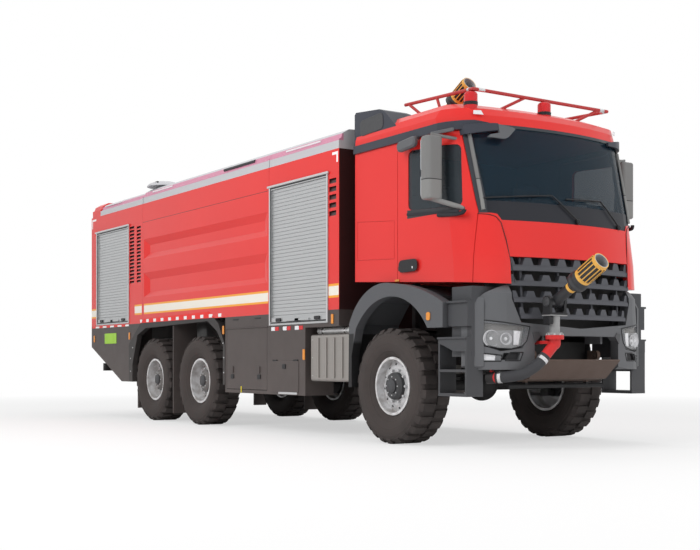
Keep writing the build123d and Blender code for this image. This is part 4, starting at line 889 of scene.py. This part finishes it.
def shutter_fittings():
    """Gutter and rails of each shutter, black strips of painted shadow beside its left rail and under its
    gutter, and its catch bar with three grips.
    """
    rails, darks = [], []
    for x0, x1, z0, z1 in ((-7.90, -6.60, 1.415, 2.870), (-2.384, -1.095, 1.262, 2.890)):
        x, wide = (x0 + x1) / 2, x1 - x0
        z, high = (z0 + z1) / 2, z1 - z0
        rails.append(slab((x, -SIDE - 0.008, z1 + 0.008), (wide + 0.05, 0.026, 0.020), edge=0.005))
        for rail_x in (x0 + 0.014, x1 - 0.014):
            rails.append(slab((rail_x, -SIDE - 0.008, z), (0.026, high, 0.006)))
        # painted shadow: black strips in the gap beside the left rail and under the gutter
        darks.append(slab((x0 + 0.033, -SIDE - 0.006, z + 0.02), (0.012, high - 0.05, 0.005)))
        darks.append(slab((x, -SIDE - 0.006, z1 - 0.014), (wide - 0.05, 0.014, 0.005)))
        for grip_x in (x0 + 0.22, x1 - 0.22):
            darks.append(slab((grip_x, -SIDE - 0.002, z0 + 0.062), (0.11, 0.040, 0.016), corner=0.012))
        darks.append(slab((x, -SIDE - 0.002, z0 + 0.030), (wide - 0.08, 0.016, 0.010)))
        darks.append(slab((x, -SIDE - 0.002, z0 + 0.052), (0.09, 0.036, 0.018), corner=0.010))
    piece("shutter_gutters", both(rails), "alloy")
    piece("shutter_catches_and_gap_shadow", both(darks), "black")


def eave_lights():
    """Bright bars in the lit strip of each eave, the dark slot in its middle and the joint clips."""
    bars = [tube([(x0, -1.213, 3.275), (x1, -1.213, 3.275)], 0.012, 8)
            for x0, x1 in ((-7.62, -6.95), (-5.82, -5.15), (-2.05, -1.30))]
    piece("eave_light_bars", both(bars), "white_lens")
    slot = tube([(-3.60, -1.214, 3.276), (-2.80, -1.214, 3.276)], 0.020, 8)
    piece("eave_slots", both([slot]), "dash")
    clips = [slab((x, -SIDE - 0.001, 3.19), (0.030, 0.10, 0.006)) for x in (-6.10, -2.40)]
    piece("eave_joint_clips", both(clips), "silver")


def roof_vent():
    """Domed vent, a quarter of an ellipse turned about its axis, and a small hood on the roof."""
    angle = np.linspace(0, TAU / 4, 7)
    shape = np.stack([0.085 * np.sin(angle), 0.26 * np.cos(angle) + 0.004], -1)
    piece("roof_vent", [spun(shape, (-5.98, -0.95, 3.385), (0, 0, 1), 32)], "silver")
    hood = slab((-5.88, -1.12, 3.420), (0.10, 0.05, 0.02), "-y", 0.01)
    piece("vent_louvre", [hood], "black")


# Cab

def wipers():
    """Two arms with an elbow and a blade each, lying just off the curved glass.

    An arm's second run ends at 0.65 of the way from elbow to tip, and the blade starts at 0.07 of it.
    """
    base = [(-0.002, 0.026), (0.018, 0.026), (0.026, 0.016)]
    arms, blades = [], []
    for pivot, elbow, tip in (((0.054, 2.195), (-0.25, 2.43), (-0.98, 2.372)),
                              ((0.695, 2.189), (0.42, 2.43), (-0.07, 2.41))):
        grip, heel = (np.array(elbow) * (1 - part) + np.array(tip) * part for part in (0.65, 0.07))
        arms.append(tube(on_front(line_between(pivot, elbow, 14), 0.016), 0.0085))
        arms.append(tube(on_front(line_between(elbow, grip, 14), 0.020), 0.006))
        arms.append(spun(base, on_front([pivot], 0.0)[0], (1, 0, 0)))
        blades.append(tube(on_front(line_between(heel, tip, 14), 0.006), 0.0085))
    piece("wiper_arms", arms, "black")
    piece("wiper_blades", blades, "black")


ROOF_MARKER = ((-0.955, 3.228), (-0.895, 3.228), (-0.872, 3.186), (-0.955, 3.192))
FRONT_MIRROR = ((-0.786, 3.088), (-0.640, 3.066), (-0.613, 3.050), (-0.700, 2.965), (-0.742, 2.945),
                (-0.900, 2.955), (-0.870, 2.985), (-0.786, 3.000))
MIRROR_ARM = ((-1.060, 3.085), (-0.786, 3.098), (-0.770, 3.030), (-1.060, 2.990))
PANEL_SEAM = ((-1.020, 2.225), (-0.940, 2.217), (-0.881, 2.195), (-0.842, 2.140), (-0.809, 1.974),
              (-0.775, 1.722), (-0.750, 1.575))


def cab_trim():
    """Pillar strips, roof markers, front mirror, hem lamps, and the seams beside the front panel."""
    strip = line_between((0.975, 2.262), (0.998, 3.01), 16)
    piece("pillar_strips", both([tube(on_front(strip, 0.002), 0.019, 8)]), "mirror_shell")
    piece("clearance_lamps", both([front_plate(ROOF_MARKER, 0.004, 0.006)]), "white_lens")
    piece("front_mirror", [front_plate(FRONT_MIRROR, 0.090, 0.028)], "bumper")
    piece("front_mirror_arm", [front_plate(MIRROR_ARM, 0.082, 0.075)], "band")
    hem = slab((0.048, -CAB, 1.655), (0.075, 0.024, 0.010), corner=0.008)
    piece("hem_lamps", both([hem]), "amber")
    piece("corner_seams", both([tube(on_front(PANEL_SEAM, 0.0045), 0.0035, 6)]), "black")


def door_trim():
    """Mirror glass, window rubber, handle cup, lock and mirror foot of each door, and the kerb mirror."""
    glass = [slab((0.744, -CAB - 0.158, z), (0.155, high, 0.006), "-x", 0.02)
             for z, high in ((2.80, 0.30), (2.50, 0.20))]
    rubber = [slab((0.62, -CAB, 2.280), (0.82, 0.030, 0.010), corner=0.010, lean=-0.062)]
    cup = [slab((0.255, -CAB - 0.0245, 1.79), (0.31, 0.125, 0.004), corner=0.05, edge=0.002)]
    lock = [spun(dome(0.014, 0.006), (0.33, -CAB - 0.024, 1.77), sides=16)]
    foot = [tube(eased([(0.72, -CAB - 0.006, 2.245), (0.90, -CAB - 0.006, 2.228), (1.05, -CAB - 0.004, 2.226),
                        (1.085, -CAB + 0.012, 2.238), (1.090, -CAB + 0.018, 2.262)]), 0.020, 12)]
    for name, patches, finish, slot in (("mirror_glass", glass, "mirror", "glass"),
                                        ("window_rubber", rubber, "cowl", "black_plastic"),
                                        ("handle_cup", cup, "black", "black_plastic"),
                                        ("door_lock", lock, "chrome", "aluminium"),
                                        ("mirror_foot_trim", foot, "cowl", "black_plastic")):
        pair(name, patches, finish, "door_body")
    head = slab((0.31, -CAB - 0.045, 2.985), (0.30, 0.105, 0.06), "-y", 0.045, 0.016, 0.10)
    bend = eased([(0.40, -CAB - 0.002, 3.04), (0.42, -CAB - 0.07, 3.045), (0.40, -CAB - 0.08, 3.01)])
    bar = slab((0.80, -CAB - 0.012, 3.035), (0.34, 0.034, 0.022), "-y", 0.008, 0.004, -0.04)
    piece("kerb_mirror", [head, tube(bend, 0.016), bar], "bumper", "door_body_right")


def dash_fittings():
    """Screens, radio housing, instrument hood and card behind the windscreen."""
    boxes = (((1.02, -0.10, 2.40), (0.34, 0.13, 0.05), 0.02), ((1.05, 0.18, 2.385), (0.22, 0.11, 0.05), 0.02),
             ((1.02, 0.56, 2.38), (0.36, 0.10, 0.06), 0.04), ((0.98, -0.35, 2.45), (0.20, 0.16, 0.03), 0.01))
    screens = [slab(centre, size, "+x", corner) for centre, size, corner in boxes]
    piece("dash_screens", screens, "dash")
    piece("dash_card", [slab((1.115, 0.36, 2.375), (0.15, 0.07, 0.01), "+x", 0.01)], "white_lens")


LAMP = ((-1.071, 1.227), (-0.84, 1.196), (-0.613, 1.163), (-0.626, 1.095), (-0.647, 1.028), (-0.690, 0.980),
        (-0.804, 0.953), (-0.931, 0.960), (-1.007, 0.984), (-1.049, 1.032), (-1.066, 1.103))
FOG = ((-1.041, 0.913), (-0.893, 0.893), (-0.901, 0.838), (-1.061, 0.838))
INTAKE = ((-0.815, 0.920), (-0.683, 0.920), (-0.716, 0.843), (-0.865, 0.843))
INDICATOR = ((-0.765, 1.125), (-0.700, 1.118), (-0.722, 0.990), (-0.772, 0.990))
FOG_BLOCK = ((-1.028, 0.905), (-0.905, 0.889), (-0.911, 0.845), (-1.045, 0.845))


def head_lamp_parts():
    """Lens, frame, ribbed housing, two bright bowls with bulbs and the indicator block of each headlamp.

    A bowl is a quarter of an ellipse half as deep as wide, turned over its lip into its own back.
    """
    lenses = [front_plate(LAMP, 0.003, 0.004), front_plate(FOG, 0.002, 0.004)]
    glass = piece("lamp_lenses", both(lenses), "clear")
    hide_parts("head_lamps")
    beads = ((LAMP, 0.0055), (FOG, 0.005), (INTAKE, 0.005))
    frames = [front_frame(outline, 0.001, radius) for outline, radius in beads]
    piece("lamp_frames", both(frames), "black")
    backing = [(y * 0.985 - 0.012, z) for y, z in LAMP]
    piece("lamp_housings", both([front_plate(backing, -0.030, 0.006)]), "bowl_housing")
    bulb = [(-0.030, 0.014), (-0.012, 0.017), (-0.002, 0.012), (0.002, 0.004)]
    facing = (1.0, -0.35, 0)
    angle = np.linspace(0.16, TAU / 4, 8)
    bowls, bulbs = [], []
    for y, z, radius in ((-0.967, 1.050, 0.074), (-0.845, 1.046, 0.052)):
        centre = (float(front_x(y, z)) - 0.016, y, z)
        dish = np.stack([-radius * 0.5 * np.cos(angle), radius * np.sin(angle)], -1)
        lip = [(0.004, radius + 0.002), (0.002, radius + 0.007)]
        back = dish[::-1] * (1.0, 1.05) - (0.006, -0.004)
        bowls.append(spun(np.concatenate([dish, lip, back]), centre, facing, 32))
        bulbs.append(spun(bulb, centre, facing, 16))
    piece("lamp_bowls", both(bowls), "bowl")
    piece("lamp_bulbs", both(bulbs), "white_lens")
    blocks = [front_plate(INDICATOR, -0.014, 0.012), front_plate(FOG_BLOCK, -0.012, 0.012)]
    piece("lamp_blocks", both(blocks), "white_lens")
    piece("intake_backs", both([front_plate(INTAKE, -0.030, 0.006)]), "black")


BUMPER_CORNER = ((1.245, -1.030), (1.215, -1.085), (1.180, -1.125), (1.120, -1.146), (1.060, -1.149),
                 (1.060, -1.138), (1.110, -1.128), (1.160, -1.085), (1.205, -1.020))
TOW_CAP = ((-0.587, 1.110), (-0.525, 1.116), (-0.498, 1.077), (-0.560, 1.010))


def bumper_fittings():
    """Square rear corners of the bumper, the tow-eye and coupling caps, and a black panel behind the grille
    that stands for the dark parts behind it and gives its openings painted shade.

    A corner is its plan carried upwards, drawn in by the table's second number at each height.
    """
    plan = np.array(BUMPER_CORNER)
    rings = []
    for z, draw in ((0.775, 0.012), (0.790, 0.0), (1.380, 0.0), (1.440, 0.020)):
        rings.append(at(np.concatenate([plan - (draw, -draw), np.full((len(plan), 1), z)], axis=1)))
    piece("bumper_corners", both([np.stack(rings)]), "bumper")
    piece("tow_eye_caps", both([front_plate(TOW_CAP, 0.010, 0.012)]), "plastic")
    plug = spun([(-0.06, 0.022), (0.0, 0.024), (0.012, 0.021), (0.016, 0.012)], (1.165, -1.05, 0.700))
    piece("coupling_cap", [plug], "yellow")
    # black panel behind the grille: partly the dark parts behind it, partly painted shade seen through the
    # openings
    panel = slab((1.150, 0.0, 1.47), (1.90, 0.66, 0.010), "+x", 0.03)
    piece("grille_backing", [panel], "chassis")


CAB_FLOOR = 1.75
SEATS = (     # y, x of the back, depth of the cushion
    (-0.56, 0.10, 0.48), (0.56, 0.10, 0.48),
    (-0.56, -0.56, 0.42), (0.0, -0.56, 0.42), (0.56, -0.56, 0.42),
)


def crew_seats():
    """Five seats, each with a crowned cushion, a back and a head pad.

    Each pad is a rounded block whose power-law section pulls its sides in between the corners.
    """
    t = np.linspace(-TAU / 4, TAU / 4, 13)[:, None]
    a = np.linspace(0, TAU, 28, endpoint=False)[None, :]

    def power(value, n):
        return np.sign(value) * np.abs(value) ** n

    def pad(centre, size):
        across = power(np.cos(t), 0.35) * power(np.cos(a), 0.3)
        deep = power(np.cos(t), 0.35) * power(np.sin(a), 0.3)
        thick = power(np.sin(t), 0.55) + 0 * a
        seam = 1 - 0.05 * np.exp(-(thick / 0.12) ** 2)
        shape = np.stack([across * seam * size[0] / 2, deep * seam * size[1] / 2, thick * size[2] / 2], -1)
        return at(centre) + shape[1:-1]

    for number, (y, x, depth) in enumerate(SEATS, 1):
        pads = [pad((x + depth / 2 + 0.02, y, CAB_FLOOR + 0.34), (depth - 0.03, 0.46, 0.155)),
                pad((x + 0.03, y, CAB_FLOOR + 0.62), (0.115, 0.46, 0.50)),
                pad((x + 0.025, y, CAB_FLOOR + 0.942), (0.085, 0.255, 0.11))]
        seat = piece("seat_" + str(number), pads, "cloth")
        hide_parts("seats")


# Turrets

def turret_fittings():
    """Trunnion caps, drives and collar rings of both turrets, and the bolts, clamps and lever below one."""
    cap, ring = dome(0.045, 0.014), [(-0.008, 0.1005), (0.006, 0.102), (0.020, 0.1005)]
    for where, (x, y, z, length) in TURRETS.items():
        turn, lift = where + "_turret_turn", where + "_turret_lift"
        caps = [spun(cap, (x, y - 0.105, z)), spun(cap, (x, y + 0.105, z), (0, 1, 0))]
        caps += bolts_round(0.006, 0.018, 6, 0.034, (x, y - 0.105, z))
        piece(where + "_trunnion_caps", caps, "cast", turn)
        drive = [slab((x, y + 0.075, z - 0.115), (0.10, 0.035, 0.03), "+z", 0.01, 0.004)]
        if where == "front":
            drive.insert(0, slab((x + 0.005, y - 0.06, z - 0.17), (0.085, 0.075, 0.055), "-y", 0.012, 0.005))
        piece(where + "_swivel_drive", drive, "black", turn)
        middle_of_barrel = np.array((x, y, z)) + LINE * length * 0.50
        piece(where + "_collar_ring", [spun(ring, middle_of_barrel, LINE, 32)], "cast", lift)
    x, y = TURRETS["front"][:2]
    bolt = [(-0.002, 0.010), (0.012, 0.010), (0.015, 0.007)]
    bolts = circle_of(lambda p: spun(bolt, p, (0, 0, 1), 6), 8, 0.072, (x, y, 1.080), (0, 0, 1))
    piece("flange_bolts", bolts, "alloy")
    clamp = [(-0.018, 0.0525), (-0.016, 0.0565), (0.016, 0.0565), (0.018, 0.0525)]
    ends = (((1.565, -0.594, 0.853), (22, 76.5, 90)), ((1.305, -0.880, 0.688), (110, 60, 6)))
    clamps = [spun(clamp, centre, way, 28) for centre, way in ends]
    piece("hose_clamps", clamps, "chrome")
    lever = eased([(1.235, -0.93, 0.735), (1.23, -0.935, 0.775), (1.215, -0.99, 0.785), (1.20, -1.05, 0.775)])
    boss = spun([(-0.01, 0.022), (0.022, 0.022), (0.028, 0.015)], (1.235, -0.925, 0.722), (0, 0, 1))
    piece("valve_lever", [tube(lever, 0.009), boss], "fittings_red")


def roof_fittings():
    """Beacon bases with their bolts, bright elbows of the rack and the pods' inner panels."""
    bases = []
    for centre in ((0.905, -0.905, 3.318), (0.960, 0.0, 3.315)):
        bases.append(spun([(-0.02, 0.069), (0.012, 0.069), (0.014, 0.067)], centre, (0, 0, 1), 32))
        bases += bolts_round(0.006, 0.006, 6, 0.0685, centre, (0, 0, 1), 8)
    piece("beacon_bases", bases, "black")
    sleeve = [(-0.03, 0.0185), (0.03, 0.0185)]
    elbows = [spun(sleeve, (0.945, y, 3.452), (0, 1, 0), 16) for y in (-0.80, 0.82)]
    for y in (-0.905, 0.905):
        elbows.append(tube(eased([(0.86, y, 3.456), (0.945, y, 3.452), (0.945, y * 0.91, 3.452)]), 0.0195))
    piece("rack_elbows", elbows, "chrome")
    panel = slab((-0.44, -CAB + 0.021, 3.32), (0.42, 0.17, 0.008), "-y", 0.05, 0.003, 0.06)
    piece("pod_panels", both([panel]), "cast")


def rear_fittings():
    """Lens rings of the rear lamps and the catches of the back shutter."""
    ring = [(-0.004, 0.041), (0.010, 0.043), (0.014, 0.040)]
    rings = [spun(ring, (-8.150, -SIDE + 0.25 - i * 0.095, 1.185), (-1, 0, 0), 24) for i in range(3)]
    piece("rear_lens_rings", both(rings), "black")
    catches = [slab((-8.130, y, 1.503), (0.11, 0.04, 0.016), "-x", 0.012) for y in (-0.65, 0.65)]
    piece("back_shutter_catches", catches, "black")


def box_fittings():
    """Bolts of the side boxes and clamps of the exhaust box's pipe."""
    clamp = [(-0.014, 0.0385), (-0.012, 0.041), (0.012, 0.041), (0.014, 0.0385)]
    bands = [spun(clamp, (x, -1.10, 1.178), (1, 0, 0), 24) for x in (-1.40, -0.95)]
    piece("pipe_clamps", bands, "chrome")
    places = [(x, -SIDE + 0.030, z) for x in (-1.47, -0.73) for z in (0.68, 0.88, 1.08)]
    bolts = [spun(dome(0.007, 0.005), place, sides=10) for place in places]
    piece("box_bolts", both(bolts), "alloy")


# Stage

FLOOR_HALF = 60.0
FADE_AT, FADE_WIDE = 11.0, 10.0                   # distance round which the floor turns white
ROOM_LIGHT = 0.43                                 # strength of the surround on matt surfaces
AIM = (0, 0, 1.2)                                 # point that the lamps face
STUDIO = (     # name, place, size, watts
    ("key", (3.0, -13.0, 9.0), 9.0, 1290.0),
    ("front", (14.0, 2.0, 6.0), 7.0, 600.0),
    ("top", (-2.0, 2.0, 12.0), 10.0, 600.0),
)


def pale_floor():
    """Floor that keeps the shadow and glows white to the camera, the more so further out."""
    mesh = bpy.data.meshes.new("floor")
    corners = [(x * FLOOR_HALF, y * FLOOR_HALF, 0) for x, y in ((-1, -1), (1, -1), (1, 1), (-1, 1))]
    mesh.from_pydata(corners, [], [(0, 1, 2, 3)])
    floor = bpy.data.objects.new("floor", mesh)
    bpy.context.collection.objects.link(floor)
    f = Finish("floor_white", (0.86, 0.86, 0.86), Roughness=0.9, Specular_IOR_Level=0.1)
    mesh.materials.append(f.material)
    away = f.node("ShaderNodeVectorMath", {"operation": "LENGTH"}, {0: f.point}, "Value")
    white = away.rise(FADE_AT, FADE_WIDE) * 0.45 + 0.55
    seen = f.node("ShaderNodeLightPath", {}, {}, "Is Camera Ray")
    glow = f.node("ShaderNodeEmission", {}, {"Color": (1.0, 1.0, 1.0), "Strength": 1.0})
    sockets = {0: seen * white, 1: Sock(f, f.surface.outputs[0]), 2: glow}
    f.feed(f.tree.nodes["Material Output"].inputs["Surface"], f.node("ShaderNodeMixShader", {}, sockets))


def stage():
    """Pale floor, soft lamps, and a surround that is white to the camera, to gloss and through glass."""
    pale_floor()
    world = bpy.data.worlds.new("surround")
    bpy.context.scene.world = world
    world.use_nodes = True
    tree = Tree(world.node_tree)
    rays = ("Is Camera Ray", "Is Transmission Ray", "Is Glossy Ray")
    seen, through, glossy = (tree.node("ShaderNodeLightPath", {}, {}, ray) for ray in rays)
    ends = {"Value": seen.either(through).either(glossy), "To Min": ROOM_LIGHT, "To Max": 1.0}
    background = world.node_tree.nodes["Background"]
    tree.feed(background.inputs["Color"], (1.0, 1.0, 1.0))
    tree.feed(background.inputs["Strength"], tree.node("ShaderNodeMapRange", {}, ends))
    for name, place, size, power in STUDIO:
        data = bpy.data.lights.new(name, "AREA")
        data.size = size
        data.energy = power
        lamp = bpy.data.objects.new(name, data)
        lamp.visible_glossy = False
        lamp.location = place
        lamp.rotation_euler = (Vector(AIM) - Vector(place)).to_track_quat("-Z", "Y").to_euler()
        bpy.context.collection.objects.link(lamp)


CAMERA_PLACE = (9.411, -7.977, 0.819)             # from the front axle
CAMERA_TURN = math.radians(56.286)


def camera():
    """The photograph's view: a level camera 0.82 m up off the right front corner."""
    data = bpy.data.cameras.new("camera")
    data.lens = 58.81
    data.sensor_width = 36.0
    data.shift_y = 0.126
    data.clip_end = 200.0
    view = bpy.data.objects.new("camera", data)
    view.location = at(CAMERA_PLACE)
    view.rotation_euler = (TAU / 4, 0, CAMERA_TURN)
    bpy.context.collection.objects.link(view)
    bpy.context.scene.camera = view


bpy.context.scene.view_settings.view_transform = "Standard"
camera()
stage()
dress_nodes()
for make in (wheel_fittings, side_markers, skirt_fittings, arch_bolts, shutter_fittings, eave_lights,
             roof_vent, wipers, cab_trim, door_trim, dash_fittings, head_lamp_parts, bumper_fittings,
             crew_seats, turret_fittings, roof_fittings, rear_fittings, box_fittings):
    make()
